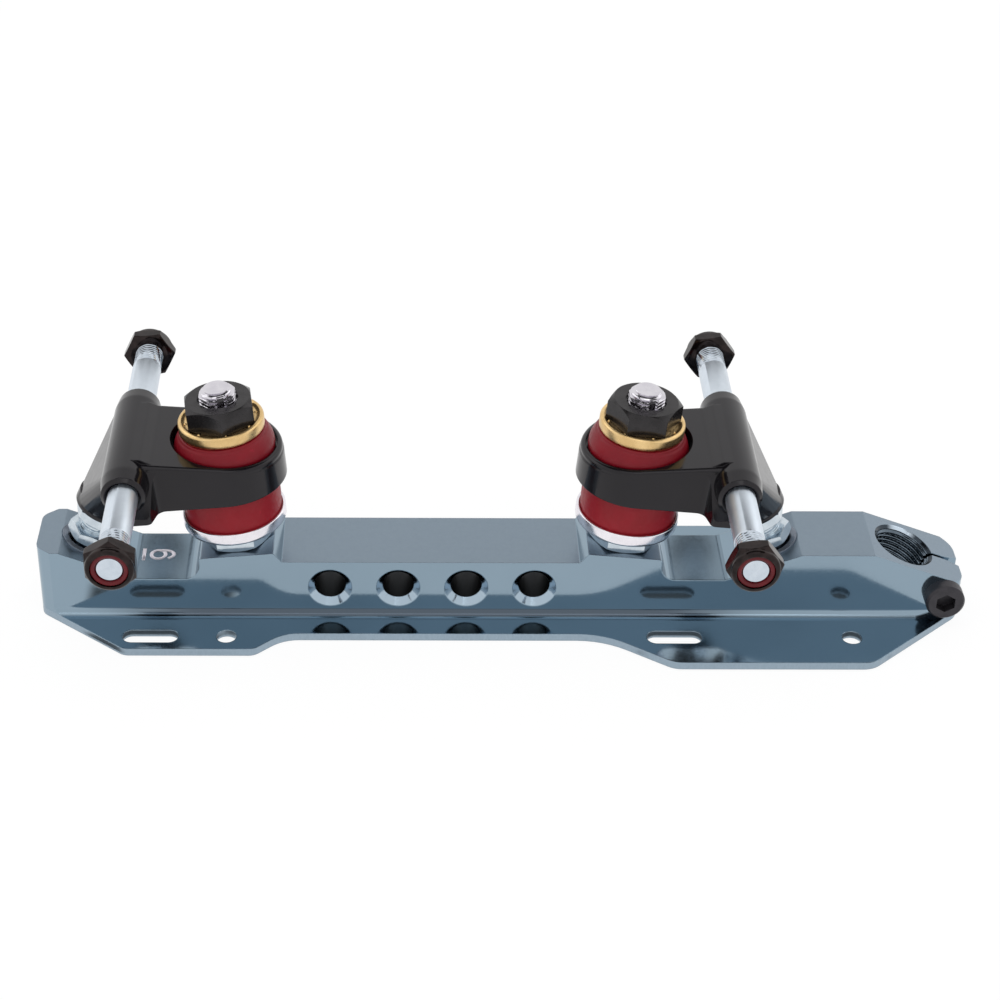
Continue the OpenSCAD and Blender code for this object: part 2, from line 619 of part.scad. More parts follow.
module rear_hanger() rear_end() hanger();
module rear_axle() rear_end() axle();
module rear_left_axle_nut() rear_end() axle_nut(1, 4);
module rear_right_axle_nut() rear_end() axle_nut(-1, 30);
module rear_left_nut_insert() rear_end() nut_insert(1);
module rear_right_nut_insert() rear_end() nut_insert(-1);
module rear_pivot_pin() rear_end() pivot_pin();
module rear_pivot_jam_nut() rear_end() pivot_jam_nut(18);
module rear_pivot_cup() rear_end() pivot_cup();
module rear_kingpin() rear_end() kingpin();
module rear_kingpin_jam_nut() rear_end() kingpin_jam_nut();
module rear_kingpin_nut() rear_end() kingpin_nut(23);
module rear_inner_retainer() rear_end() inner_retainer();
module rear_inner_cushion() rear_end() inner_cushion();
module rear_outer_cushion() rear_end() outer_cushion();
module rear_outer_retainer() rear_end() outer_retainer();
module front_hanger() front_end() hanger();
module front_axle() front_end() axle();
module front_left_axle_nut() front_end() axle_nut(1, -7);
module front_right_axle_nut() front_end() axle_nut(-1, 8);
module front_left_nut_insert() front_end() nut_insert(1);
module front_right_nut_insert() front_end() nut_insert(-1);
module front_pivot_pin() front_end() pivot_pin();
module front_pivot_jam_nut() front_end() pivot_jam_nut(18);
module front_pivot_cup() front_end() pivot_cup();
module front_kingpin() front_end() kingpin();
module front_kingpin_jam_nut() front_end() kingpin_jam_nut();
module front_kingpin_nut() front_end() kingpin_nut(0);
module front_inner_retainer() front_end() inner_retainer();
module front_inner_cushion() front_end() inner_cushion();
module front_outer_cushion() front_end() outer_cushion();
module front_outer_retainer() front_end() outer_retainer();

plate_body();
toe_clamp_screw();
rear_hanger();
rear_axle();
rear_left_axle_nut();
rear_right_axle_nut();
rear_left_nut_insert();
rear_right_nut_insert();
rear_pivot_pin();
rear_pivot_jam_nut();
rear_pivot_cup();
rear_kingpin();
rear_kingpin_jam_nut();
rear_kingpin_nut();
rear_inner_retainer();
rear_inner_cushion();
rear_outer_cushion();
rear_outer_retainer();
front_hanger();
front_axle();
front_left_axle_nut();
front_right_axle_nut();
front_left_nut_insert();
front_right_nut_insert();
front_pivot_pin();
front_pivot_jam_nut();
front_pivot_cup();
front_kingpin();
front_kingpin_jam_nut();
front_kingpin_nut();
front_inner_retainer();
front_inner_cushion();
front_outer_cushion();
front_outer_retainer();
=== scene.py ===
# %% [markdown]
# # The looks of a roller skate plate
# The plate is forged aluminium, polished and anodised blue-grey. Two black trucks stand on it,
# each on a pair of red urethane cushions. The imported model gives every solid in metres, with X
# toward the toe, Z up out of the sole face. This script dresses it, piece by piece.

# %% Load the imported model
import math

import bmesh
import bpy
import numpy as np
from mathutils import Matrix


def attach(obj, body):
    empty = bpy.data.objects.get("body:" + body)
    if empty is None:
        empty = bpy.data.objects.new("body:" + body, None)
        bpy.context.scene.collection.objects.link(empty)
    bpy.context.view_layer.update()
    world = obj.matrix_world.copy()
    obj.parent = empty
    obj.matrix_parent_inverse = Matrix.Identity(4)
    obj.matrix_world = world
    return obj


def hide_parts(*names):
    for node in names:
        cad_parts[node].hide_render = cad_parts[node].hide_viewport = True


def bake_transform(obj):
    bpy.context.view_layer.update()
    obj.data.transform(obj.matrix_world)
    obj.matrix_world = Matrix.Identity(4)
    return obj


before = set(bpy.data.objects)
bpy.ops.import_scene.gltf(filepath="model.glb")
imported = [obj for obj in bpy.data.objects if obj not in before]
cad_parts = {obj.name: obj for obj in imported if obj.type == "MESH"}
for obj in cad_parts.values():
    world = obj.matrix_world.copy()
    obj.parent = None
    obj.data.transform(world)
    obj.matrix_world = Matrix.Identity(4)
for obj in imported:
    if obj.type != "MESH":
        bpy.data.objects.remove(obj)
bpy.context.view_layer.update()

MM = 0.001

# %% [markdown]
# ## The camera
# A product photographer stands back with a long lens, so the plate hardly tapers. The lens, the
# place and the turn below were worked out from the plate's corners and the axles' ends. A Track To
# constraint could aim the camera, but it leaves no say over the roll, so the turn is a matrix made
# from three angles. The small shift is what is left of the photograph's crop.

# %% Place the camera
CAMERA_PLACE = np.array([-7.412, -505.484, 374.658]) * MM
CAMERA_DOWN, CAMERA_RIGHT, CAMERA_ROLL = np.radians([34.066, 1.417, 0.989])
SENSOR = 36.0
LENS = 81.023
SIDE_SHIFT = 0.05
CLIP_NEAR, CLIP_FAR = 0.01, 50


def looking(down, right, roll):
    """Axes of a camera as columns: it looks along +Y, then is turned right about Z, tipped down
    and rolled about its own line of sight."""
    ahead = np.array([math.sin(right) * math.cos(down),
                      math.cos(right) * math.cos(down), -math.sin(down)])
    side = np.array([math.cos(right), -math.sin(right), 0.0])
    up = np.cross(side, ahead)
    return np.column_stack([
        math.cos(roll) * side + math.sin(roll) * up,
        math.cos(roll) * up - math.sin(roll) * side,
        -ahead])


camera = bpy.data.objects.new("camera", bpy.data.cameras.new("camera"))
bpy.context.scene.collection.objects.link(camera)
placed = np.eye(4)
placed[:3, :3] = looking(CAMERA_DOWN, CAMERA_RIGHT, CAMERA_ROLL)
placed[:3, 3] = CAMERA_PLACE
camera.matrix_world = Matrix(placed.tolist())
camera.data.sensor_width = SENSOR
camera.data.lens = LENS
camera.data.shift_x = SIDE_SHIFT
camera.data.clip_start, camera.data.clip_end = CLIP_NEAR, CLIP_FAR
bpy.context.scene.camera = camera
print("camera at", CAMERA_PLACE)

# %% [markdown]
# ## Helpers for node trees
# The room, the floor and every finish are trees of nodes. Making each node by hand takes many
# lines, so these helpers make one node and hand back what comes out of it. A share is a value
# from 0 to 1 that says where something holds.

# %% Make nodes with one call each
def node(tree, kind, inputs=(), **settings):
    """Adds one node, sets its fields, and fills or links its inputs by name or by number."""
    made = tree.nodes.new(kind)
    for key, value in settings.items():
        setattr(made, key, value)
    for key, value in dict(inputs).items():
        if isinstance(value, bpy.types.NodeSocket):
            tree.links.new(value, made.inputs[key])
        else:
            made.inputs[key].default_value = value
    return made


def maths(tree, how, a, b=0.0, clamp=False):
    """The output of one Math node: a how b."""
    return node(tree, "ShaderNodeMath", {0: a, 1: b}, operation=how, use_clamp=clamp).outputs[0]


def between(tree, value, low, high):
    """0 below low, 1 above high and smooth between them."""
    made = node(tree, "ShaderNodeMapRange", {0: value, 1: low, 2: high, 3: 0.0, 4: 1.0})
    made.interpolation_type = "SMOOTHSTEP"
    return made.outputs[0]


def below(tree, value, limit, soft=0.1 * MM):
    """1 where value is under limit, and 0 from limit plus soft."""
    return maths(tree, "SUBTRACT", 1.0, between(tree, value, limit, limit + soft))


def all_of(tree, *shares):
    """The least of several shares."""
    least = shares[0]
    for share in shares[1:]:
        least = maths(tree, "MINIMUM", least, share)
    return least


def any_of(tree, *shares):
    """The greatest of several shares."""
    most = shares[0]
    for share in shares[1:]:
        most = maths(tree, "MAXIMUM", most, share)
    return most


def blended(tree, share, first, second):
    """A colour that goes from first to second as share goes from 0 to 1."""
    made = node(tree, "ShaderNodeMix", data_type="RGBA")
    for key, value in ((0, share), (6, first), (7, second)):
        if isinstance(value, bpy.types.NodeSocket):
            tree.links.new(value, made.inputs[key])
        else:
            made.inputs[key].default_value = value if key == 0 else (*value, 1.0)
    return made.outputs[2]


print("node helpers are ready")

# %% [markdown]
# ## The white room
# Polished metal shows what stands round it, so the room matters more than the lamps. A
# photographer puts such a piece in a light tent. White sheets could make one, but the world itself
# does it with no meshes, and it can differ by what looks at it: plain white for the camera, nearly
# white in mirrors, and dimmer as a light, so that colours stay true.

# %% Light the room from the world
bpy.context.scene.view_settings.view_transform = "Standard"
ROOM_MIRRORED = 0.93
ROOM_GLOW = 0.6

world = bpy.data.worlds.new("room")
bpy.context.scene.world = world
world.use_nodes = True
room = world.node_tree
room.nodes.clear()
path = node(room, "ShaderNodeLightPath")
mirrored = any_of(room, path.outputs["Is Glossy Ray"], path.outputs["Is Transmission Ray"])
level = any_of(room, path.outputs["Is Camera Ray"], maths(room, "MULTIPLY", mirrored, ROOM_MIRRORED),
               ROOM_GLOW)
backdrop = node(room, "ShaderNodeBackground", {"Color": (1, 1, 1, 1), "Strength": level})
node(room, "ShaderNodeOutputWorld", {"Surface": backdrop.outputs[0]})
print("the room gives", ROOM_GLOW, "as a light and", ROOM_MIRRORED, "in a mirror")

# %% [markdown]
# ## Soft boxes
# Three large lamps stand well away: one behind each end, and one above the camera. Small lamps
# would put hard glints on the steel. Area lamps give rounded pieces a soft bright flank and put a
# faint shadow under the plate. They are weak, because the room does most of the work.

# %% Hang the soft boxes
def soft_box(name, place, size, power):
    """A rectangular lamp that faces the middle of the plate."""
    lamp = bpy.data.objects.new(name, bpy.data.lights.new(name, "AREA"))
    bpy.context.scene.collection.objects.link(lamp)
    lamp.data.shape = "RECTANGLE"
    lamp.data.size, lamp.data.size_y = size
    lamp.data.energy = power
    ahead = -np.array(place) / np.linalg.norm(place)
    side = np.cross(ahead, [0, 0, 1])
    side /= np.linalg.norm(side)
    turned = np.eye(4)
    turned[:3, :3] = np.column_stack([side, np.cross(side, ahead), -ahead])
    turned[:3, 3] = place
    lamp.matrix_world = Matrix(turned.tolist())
    return lamp


soft_box("box_left", (-1.1, 0.5, 0.9), (0.9, 0.9), 1.2)
soft_box("box_right", (1.1, 0.5, 0.9), (0.9, 0.9), 1.2)
soft_box("box_above", (-0.1, -0.4, 1.4), (1.2, 0.9), 3.0)
print("soft boxes:", len(bpy.data.lights))

# %% [markdown]
# ## The black card
# Polished metal in a white room has no edges. A black card hung over the plate is what its rounded
# edges show, so they read as crisp dark lines. Dark edges could be drawn in the material, but then
# they wouldn't follow the light. The card is seen in mirrors only, and takes no light away.

# %% Hang the black card
def plain_sheet(name, corners):
    """A flat four-cornered object, kept out of the model as part of the stage."""
    mesh = bpy.data.meshes.new(name)
    mesh.from_pydata(corners, [], [(0, 1, 2, 3)])
    made = bpy.data.objects.new(name, mesh)
    bpy.context.scene.collection.objects.link(made)
    return made


CORNERS = ((-1, -1), (1, -1), (1, 1), (-1, 1))
CARD_AWAY, CARD_UP, CARD_HALF_WIDE, CARD_HALF_TALL = 1.9, math.radians(94), 1.3, 1.1
VELVET, VELVET_ROUGH = (0.06, 0.06, 0.065, 1), 0.9
card_middle = CARD_AWAY * np.array([0, -math.cos(CARD_UP), math.sin(CARD_UP)])
card_rise = CARD_HALF_TALL * np.array([0, math.sin(CARD_UP), math.cos(CARD_UP)])
card_side = CARD_HALF_WIDE * np.array([1, 0, 0])
card = plain_sheet("black_card", [(card_middle + a * card_side + b * card_rise).tolist()
                                  for a, b in CORNERS])
velvet = bpy.data.materials.new("black_velvet")
velvet.use_nodes = True
velvet_sockets = velvet.node_tree.nodes["Principled BSDF"].inputs
velvet_sockets["Base Color"].default_value = VELVET
velvet_sockets["Roughness"].default_value = VELVET_ROUGH
card.data.materials.append(velvet)
card.visible_camera = card.visible_diffuse = card.visible_shadow = False
print("black card at", card_middle.round(3).tolist())

# %% [markdown]
# ## The floor
# The floor is white paper, mostly lit from within where the camera or a mirror sees it, so that it
# reads as white and still keeps a soft shadow. Under a real plate the paper lies in the plate's own
# shade. Mirrors see that shade here, which is why the holes in the flange look dark in the polished
# sides. It is left out at the narrow waist, under the hollows of the spine and right at the sole.

# %% Lay the floor
FLOOR_HALF, FLOOR_DROP = 30.0, -0.0003
SHADE_MIDDLE_X, SHADE_HALF_X, SHADE_HALF_Y, SHADE_LEVEL = 0.015, 0.108, 0.025, 0.08
SOFT_EDGE = 0.004
WAIST = 0.053
UNDER_SPINE, SPINE_EDGE = 0.0095, 0.001
NEAR_SOLE = 0.0015
OWN_LIGHT = 0.86
PAPER_WHITE = 0.96
PAPER_GLOW = 1.055    # with the lamps' share, the bare floor then comes to 1, which is white

floor = plain_sheet("floor", [(x * FLOOR_HALF, y * FLOOR_HALF, FLOOR_DROP) for x, y in CORNERS])
paper = bpy.data.materials.new("floor_paper")
paper.use_nodes = True
tree = paper.node_tree
tree.nodes.clear()
path = node(tree, "ShaderNodeLightPath")
for_camera = path.outputs["Is Camera Ray"]
seen = maths(tree, "MULTIPLY", any_of(tree, for_camera, path.outputs["Is Glossy Ray"]), OWN_LIGHT)
spot = node(tree, "ShaderNodeSeparateXYZ", {0: node(tree, "ShaderNodeTexCoord").outputs["Object"]})
from_middle = maths(tree, "ABSOLUTE", maths(tree, "SUBTRACT", spot.outputs[0], SHADE_MIDDLE_X))
along = maths(tree, "ABSOLUTE", spot.outputs[0])
aside = maths(tree, "ABSOLUTE", spot.outputs[1])
outside = any_of(
    tree, between(tree, from_middle, SHADE_HALF_X, SHADE_HALF_X + SOFT_EDGE),
    between(tree, aside, SHADE_HALF_Y, SHADE_HALF_Y + SOFT_EDGE),
    below(tree, along, WAIST, SOFT_EDGE), below(tree, aside, UNDER_SPINE, SPINE_EDGE),
    maths(tree, "LESS_THAN", path.outputs["Ray Length"], NEAR_SOLE), for_camera)
bright = node(tree, "ShaderNodeMapRange", {0: outside, 3: SHADE_LEVEL, 4: 1.0}).outputs[0]
bright = any_of(tree, bright, maths(tree, "MULTIPLY", for_camera, PAPER_GLOW))
lit = node(tree, "ShaderNodeBsdfDiffuse", {"Color": (PAPER_WHITE, PAPER_WHITE, PAPER_WHITE, 1)})
glow = node(tree, "ShaderNodeEmission", {"Color": (1, 1, 1, 1), "Strength": bright})
sheet_look = node(tree, "ShaderNodeMixShader", {0: seen, 1: lit.outputs[0], 2: glow.outputs[0]})
under = node(tree, "ShaderNodeNewGeometry").outputs["Backfacing"]
clear = node(tree, "ShaderNodeBsdfTransparent")
one_sided = node(tree, "ShaderNodeMixShader",
                 {0: under, 1: sheet_look.outputs[0], 2: clear.outputs[0]})
node(tree, "ShaderNodeOutputMaterial", {"Surface": one_sided.outputs[0]})
floor.data.materials.append(paper)
print("floor:", 2 * FLOOR_HALF, "m wide,", len(tree.nodes), "nodes")

# %% [markdown]
# ## Finishes
# No real surface is one flat value. Each finish below starts from one colour pair that drifts over
# the piece in soft patches, and one fine grain that moves the roughness and lifts the surface a
# little. Patterns read Object coordinates, so they stay on the piece when it moves.

# %% One recipe for all finishes
NOISE_LOW, NOISE_HIGH, NOISE_ROUGHNESS = 0.3, 0.7, 0.55    # nearly all noise lies from low to high
BEVEL_SAMPLES = 6


def patches(tree, scale, detail=3.0, stretch=(1, 1, 1)):
    """Soft cloudy noise from 0 to 1 in Object coordinates, stretched along the axes."""
    place = node(tree, "ShaderNodeTexCoord").outputs["Object"]
    turned = node(tree, "ShaderNodeMapping", {"Vector": place, "Scale": stretch})
    return node(tree, "ShaderNodeTexNoise", {
        "Vector": turned.outputs[0], "Scale": scale, "Detail": detail,
        "Roughness": NOISE_ROUGHNESS}).outputs[0]


def finish(name, light, dark, rough, metallic=0.0, patch=60.0, grain=900.0, lift=0.02, edge=0.0,
           **fixed):
    """A Principled material. Colour goes from dark to light over patches, roughness over rough's
    low and high by the grain, and lift is the grain's height in millimetres. edge rounds what the
    light sees of sharp edges, by that many millimetres. fixed sets plain sockets."""
    made = bpy.data.materials.new(name)
    made.use_nodes = True
    tree = made.node_tree
    shader = tree.nodes["Principled BSDF"]
    cloud = between(tree, patches(tree, patch), NOISE_LOW, NOISE_HIGH)
    fine = patches(tree, grain, 2.0)
    tree.links.new(blended(tree, cloud, dark, light), shader.inputs["Base Color"])
    rougher = node(tree, "ShaderNodeMapRange",
                   {0: fine, 1: NOISE_LOW, 2: NOISE_HIGH, 3: rough[0], 4: rough[1]})
    tree.links.new(rougher.outputs[0], shader.inputs["Roughness"])
    relief = {"Height": fine, "Strength": 1.0, "Distance": lift * MM}
    if edge:
        relief["Normal"] = node(tree, "ShaderNodeBevel", {"Radius": edge * MM},
                                samples=BEVEL_SAMPLES).outputs[0]
    tree.links.new(node(tree, "ShaderNodeBump", relief).outputs[0], shader.inputs["Normal"])
    shader.inputs["Metallic"].default_value = metallic
    for key, value in fixed.items():
        shader.inputs[key.replace("_", " ")].default_value = value
    return made


def shader_of(material):
    """The Principled node of a finish."""
    return material.node_tree.nodes["Principled BSDF"]


print("the recipe for finishes is ready")

# %% [markdown]
# ## Anodised aluminium
# The sides of the spine and the flange are mirror-polished: the lower half of each side shows the
# flange in front of it, and the flange shows the side. The tops are blasted satin, a little greyer.
# The rim of the flange is milled, with fine upright marks. Three materials on three sets of faces
# could do it. One material that asks which way the surface faces, and how high it lies, needs no
# face to be picked by hand.

# %% Mix the plate's finish
plate_finish = finish("anodised_blue_grey", (0.272, 0.362, 0.436), (0.252, 0.338, 0.408), (0.08, 0.14),
                      metallic=1.0, patch=25, grain=1500, lift=0.0012, edge=0.5)
tree = plate_finish.node_tree
shader = shader_of(plate_finish)
place = node(tree, "ShaderNodeSeparateXYZ", {0: node(tree, "ShaderNodeTexCoord").outputs["Object"]})
facing = node(tree, "ShaderNodeSeparateXYZ", {0: node(tree, "ShaderNodeNewGeometry").outputs["Normal"]})
SATIN_FROM, FLANGE_TOP, TOE_SLOPE_FROM = 15.5 * MM, 2.25 * MM, 119 * MM
UPRIGHT_FROM, UPRIGHT_TO, WALL_FROM, WALL_TO = 0.86, 0.91, 0.3, 0.6    # the normal's Z
SATIN_ROUGHER, MILLED_ROUGHER, RIM_EDGE = 0.26, 0.22, 0.1 * MM
normal_rise = maths(tree, "ABSOLUTE", facing.outputs[2])
upward = between(tree, normal_rise, UPRIGHT_FROM, UPRIGHT_TO)
high = between(tree, place.outputs[2], SATIN_FROM, SATIN_FROM + MM)
on_slope = between(tree, place.outputs[0], TOE_SLOPE_FROM, TOE_SLOPE_FROM + MM)
satin = maths(tree, "MULTIPLY", upward, any_of(tree, high, on_slope))
satin = maths(tree, "MULTIPLY", satin, between(tree, place.outputs[2], FLANGE_TOP, FLANGE_TOP + MM))
sideways = below(tree, normal_rise, WALL_FROM, WALL_TO - WALL_FROM)
low = maths(tree, "SUBTRACT", 1.0, between(tree, place.outputs[2], FLANGE_TOP - RIM_EDGE, FLANGE_TOP))
milled = maths(tree, "MULTIPLY", sideways, low)
upright_marks = patches(tree, 1.0, 3.0, stretch=(2200, 2200, 700))
polished_colour = shader.inputs["Base Color"].links[0].from_socket
satin_colour = blended(tree, patches(tree, 700, 3), (0.252, 0.314, 0.376), (0.275, 0.341, 0.405))
milled_colour = blended(tree, upright_marks, (0.27, 0.35, 0.42), (0.37, 0.46, 0.54))
toned = blended(tree, satin, polished_colour, satin_colour)
toned = blended(tree, milled, toned, milled_colour)
polished_rough = shader.inputs["Roughness"].links[0].from_socket
rougher = maths(tree, "ADD", polished_rough, maths(tree, "MULTIPLY", satin, SATIN_ROUGHER))
rougher = maths(tree, "ADD", rougher, maths(tree, "MULTIPLY", milled, MILLED_ROUGHER))
print("plate finish, before its dull parts:", len(tree.nodes), "nodes")

# %% [markdown]
# ## The four cross holes
# The holes are drilled after the forging is polished, so their insides are rough. Their insides
# are painted dark, as painted shade, and their countersinks are painted bright, as a painted
# highlight. Texture could be painted on each, but a share worked out from the distance to the
# nearest hole is exact. The four are evenly spaced, so a ping-pong of X measures that distance for
# all of them at once.

# %% Find the cross holes and their countersinks
HOLE_X, HOLE_PITCH, HOLE_Z, HOLE_R, SINK_R, SINK_END, SIDE_Y, HOLES_END = [
    v * MM for v in (9.675, 18.55, 11.0, 4.25, 6.1, 8.95, 10.65, 36)]
CRISP = 0.05 * MM    # a zone's edge this wide looks sharp
from_hole = maths(tree, "PINGPONG", maths(tree, "SUBTRACT", place.outputs[0], HOLE_X), HOLE_PITCH / 2)
hole_rise = maths(tree, "SUBTRACT", place.outputs[2], HOLE_Z)
reach = maths(tree, "SQRT", maths(tree, "ADD", maths(tree, "POWER", from_hole, 2.0),
                                  maths(tree, "MULTIPLY", hole_rise, hole_rise)))
from_spine = maths(tree, "ABSOLUTE", place.outputs[1])
from_waist = maths(tree, "ABSOLUTE", place.outputs[0])
by_holes = below(tree, from_waist, HOLES_END)
in_hole = all_of(tree, by_holes, below(tree, reach, HOLE_R), below(tree, from_spine, SINK_END))
in_sink = all_of(tree, by_holes, below(tree, reach, SINK_R), below(tree, from_spine, SIDE_Y, CRISP))
print("cross holes at", [round((HOLE_X + k * HOLE_PITCH) / MM, 1) for k in (-2, -1, 0, 1)], "mm")

# %% [markdown]
# ## The toe stop's bore
# The bore at the toe is painted dark too, as painted shade, and a narrow stripe of its curved wall
# is painted bright: a painted highlight. The distance from a slanted line needs two measures: how far
# along the line a point lies, and how far it is from the line's start. Pythagoras gives the rest.

# %% Find the toe stop's bore and its painted highlight stripe
BORE_X, BORE_Z, BORE_TILT, BORE_RIM = 130.45, 18.38, math.radians(20.5), 8.72
bore_axis = (math.sin(BORE_TILT), 0, math.cos(BORE_TILT))
object_place = node(tree, "ShaderNodeTexCoord").outputs["Object"]
from_bore = node(tree, "ShaderNodeVectorMath", {0: object_place, 1: (BORE_X * MM, 0, BORE_Z * MM)},
                 operation="SUBTRACT").outputs[0]
depth = node(tree, "ShaderNodeVectorMath", {0: from_bore, 1: bore_axis},
             operation="DOT_PRODUCT").outputs["Value"]
span = node(tree, "ShaderNodeVectorMath", {0: from_bore}, operation="LENGTH").outputs["Value"]
across = maths(tree, "SQRT", maths(tree, "SUBTRACT", maths(tree, "MULTIPLY", span, span),
                                   maths(tree, "MULTIPLY", depth, depth)))
in_bore = below(tree, across, BORE_RIM * MM, CRISP)
# FAR_SIDE points to the middle of the painted highlight on the bore's wall.
FAR_SIDE = (0.112, 0.993, -0.042)
GLINT_FROM = 0.84    # the cosine of the stripe's half width
toward = node(tree, "ShaderNodeVectorMath", {0: from_bore, 1: FAR_SIDE},
              operation="DOT_PRODUCT").outputs["Value"]
painted_glint = between(tree, maths(tree, "DIVIDE", toward, across), GLINT_FROM, 1.0)
print("toe bore leans", round(math.degrees(BORE_TILT), 1), "degrees")

# %% [markdown]
# ## The crease and the pocket floors
# The crease along the spine and the floor of the low pockets are painted darker: painted shade.
# The pocket floors are also a little rougher. A darkened crease could come from the Pointiness of
# the mesh, but that depends on its triangles. Height and distance from the middle find both places
# exactly.

# %% Find the crease and the pocket floors
SOFT, FOOT_SOFT, WALL_SOFT = 0.3 * MM, 0.2 * MM, 0.04 * MM
POCKET_LEVEL, POCKETS_END = 13.9 * MM, 95 * MM
CREASE_Z, CREASE_TOP, CREASE_Y, CREASE_IN, CREASE_END, CREASE_FADE = [
    v * MM for v in (2.5, 4.3, 13.1, 10.76, 62, 35)]
in_crease = all_of(tree, between(tree, place.outputs[2], CREASE_Z - FOOT_SOFT, CREASE_Z),
                   below(tree, place.outputs[2], CREASE_TOP, SOFT),
                   below(tree, from_spine, CREASE_Y),
                   between(tree, from_spine, CREASE_IN, CREASE_IN + WALL_SOFT),
                   below(tree, from_waist, CREASE_END, CREASE_FADE))
off_floor = maths(tree, "ABSOLUTE", maths(tree, "SUBTRACT", place.outputs[2], POCKET_LEVEL))
on_pocket = all_of(tree, upward, below(tree, off_floor, SOFT), below(tree, from_waist, POCKETS_END))
print("crease ends", CREASE_END / MM, "mm from the middle")

# %% [markdown]
# ## Painted shade and highlights on the polished plate
# Now the shares come together. Each place could be a material of its own, but a blend can also lay
# on part of a colour, as on the pocket floors. Each blend covers the ones before it, so the holes
# come last: they cut through everything else. The crease, the pocket floors, the holes and the toe
# bore are painted darker as painted shade, and the countersinks and a stripe in the bore get a
# painted highlight. The upper wall of a hole faces down to the pale floor, so it is painted paler:
# a painted reflection.

# %% Lay the painted shade and highlights over the plate's finish
POCKET_SHADE_SHARE, POCKET_ROUGHER, HOLE_ROUGHER = 0.55, 0.10, 0.30
UNDERSIDE_FROM, UNDERSIDE_TO = -0.35, 0.05    # the normal's Z on the upper wall of a hole
# Painted shade: the crease is painted dark, and the pocket floors are painted part of the way darker.
toned = blended(tree, in_crease, toned, (0.095, 0.120, 0.150))
toned = blended(tree, maths(tree, "MULTIPLY", on_pocket, POCKET_SHADE_SHARE), toned, (0.150, 0.205, 0.255))
# Painted highlight: the countersinks are painted brighter.
toned = blended(tree, in_sink, toned, (0.400, 0.500, 0.590))
# Painted shade inside the holes, with a painted reflection of the pale floor on their upper walls.
hole_painted_shade_and_reflection = blended(tree, between(tree, facing.outputs[2], UNDERSIDE_FROM, UNDERSIDE_TO),
                    (0.190, 0.230, 0.250), (0.022, 0.024, 0.027))
toned = blended(tree, in_hole, toned, hole_painted_shade_and_reflection)
# Painted shade in the toe bore, with a painted highlight on one stripe of it.
bore_painted_shade_and_glint = blended(tree, painted_glint, (0.050, 0.064, 0.080), (0.620, 0.720, 0.820))
toned = blended(tree, in_bore, toned, bore_painted_shade_and_glint)
tree.links.new(toned, shader.inputs["Base Color"])
rougher = maths(tree, "ADD", rougher, maths(tree, "MULTIPLY", on_pocket, POCKET_ROUGHER))
rougher = maths(tree, "ADD", rougher, maths(tree, "MULTIPLY", in_hole, HOLE_ROUGHER))
tree.links.new(rougher, shader.inputs["Roughness"])
print("plate finish:", len(tree.nodes), "nodes")

# %% [markdown]
# ## Paint and blackened steel
# The hangers are castings in gloss black paint. A clear coat over a dull base could stand for it,
# but one dark glossy layer looks the same at this size. The nuts and the clamp screw are blackened
# steel: a thin oxide over metal, so they are part metal, and browner or greyer with the batch.

# %% Mix the black finishes
hanger_finish = finish("gloss_black_paint", (0.0070, 0.0062, 0.0082), (0.0048, 0.0042, 0.0058),
                       (0.10, 0.18), patch=90, grain=420, lift=0.003, edge=0.35,
                       IOR=1.42, Specular_Tint=(1.0, 0.965, 1.0, 1.0))
oxide_finish = finish("black_oxide", (0.031, 0.022, 0.021), (0.013, 0.009, 0.009), (0.06, 0.15),
                      metallic=0.75, patch=420, grain=1600, lift=0.003, edge=0.35)
kingpin_nut_finish = finish("satin_black_nut", (0.036, 0.033, 0.035), (0.022, 0.020, 0.021),
                            (0.15, 0.26), metallic=0.55, patch=260, grain=1800, lift=0.003, edge=0.2)
screw_finish = finish("clamp_screw_black", (0.047, 0.044, 0.051), (0.032, 0.030, 0.036), (0.34, 0.46),
                      metallic=0.5, patch=300, grain=1900, lift=0.004, edge=0.15)
print("black finishes:", len(bpy.data.materials), "materials so far")

# %% [markdown]
# ## Bright metals
# Pivot pins and jam nuts have bright zinc. The axles' zinc is duller, with pale rods between
# bright threads. Rod and thread are one piece of steel, so they share one finish with a zone by
# place, and no seam shows between them. The kingpins are plated, the lower cups are polished
# aluminium and the upper ones tarnished brass.

# %% Mix the bright metals
ROD_END, ROD_SHARE, THREAD_ROUGH = 41.9 * MM, 0.6, 0.1

zinc_finish = finish("bright_zinc", (0.66, 0.73, 0.78), (0.55, 0.62, 0.68), (0.10, 0.20),
                     metallic=1.0, patch=330, grain=1500, lift=0.001, edge=0.15)
axle_finish = finish("zinc_axle", (0.64, 0.705, 0.775), (0.57, 0.635, 0.71), (0.36, 0.44),
                     metallic=1.0, patch=420, grain=1700, lift=0.0006)
tree = axle_finish.node_tree
sockets = shader_of(axle_finish).inputs
place = node(tree, "ShaderNodeSeparateXYZ", {0: node(tree, "ShaderNodeTexCoord").outputs["Object"]})
on_rod = maths(tree, "LESS_THAN", maths(tree, "ABSOLUTE", place.outputs[1]), ROD_END)
off_rod = maths(tree, "SUBTRACT", 1.0, on_rod)
satin_rough, plain_zinc = [sockets[key].links[0].from_socket for key in ("Roughness", "Base Color")]
rough = maths(tree, "ADD", maths(tree, "MULTIPLY", satin_rough, on_rod),
              maths(tree, "MULTIPLY", off_rod, THREAD_ROUGH))
tree.links.new(rough, sockets["Roughness"])
pale_rod = blended(tree, maths(tree, "MULTIPLY", on_rod, ROD_SHARE), plain_zinc, (0.83, 0.90, 0.97))
tree.links.new(pale_rod, sockets["Base Color"])
chrome_finish = finish("kingpin_plating", (0.74, 0.72, 0.76), (0.66, 0.64, 0.69), (0.08, 0.15),
                       metallic=1.0, patch=300, grain=1500, lift=0.0005)
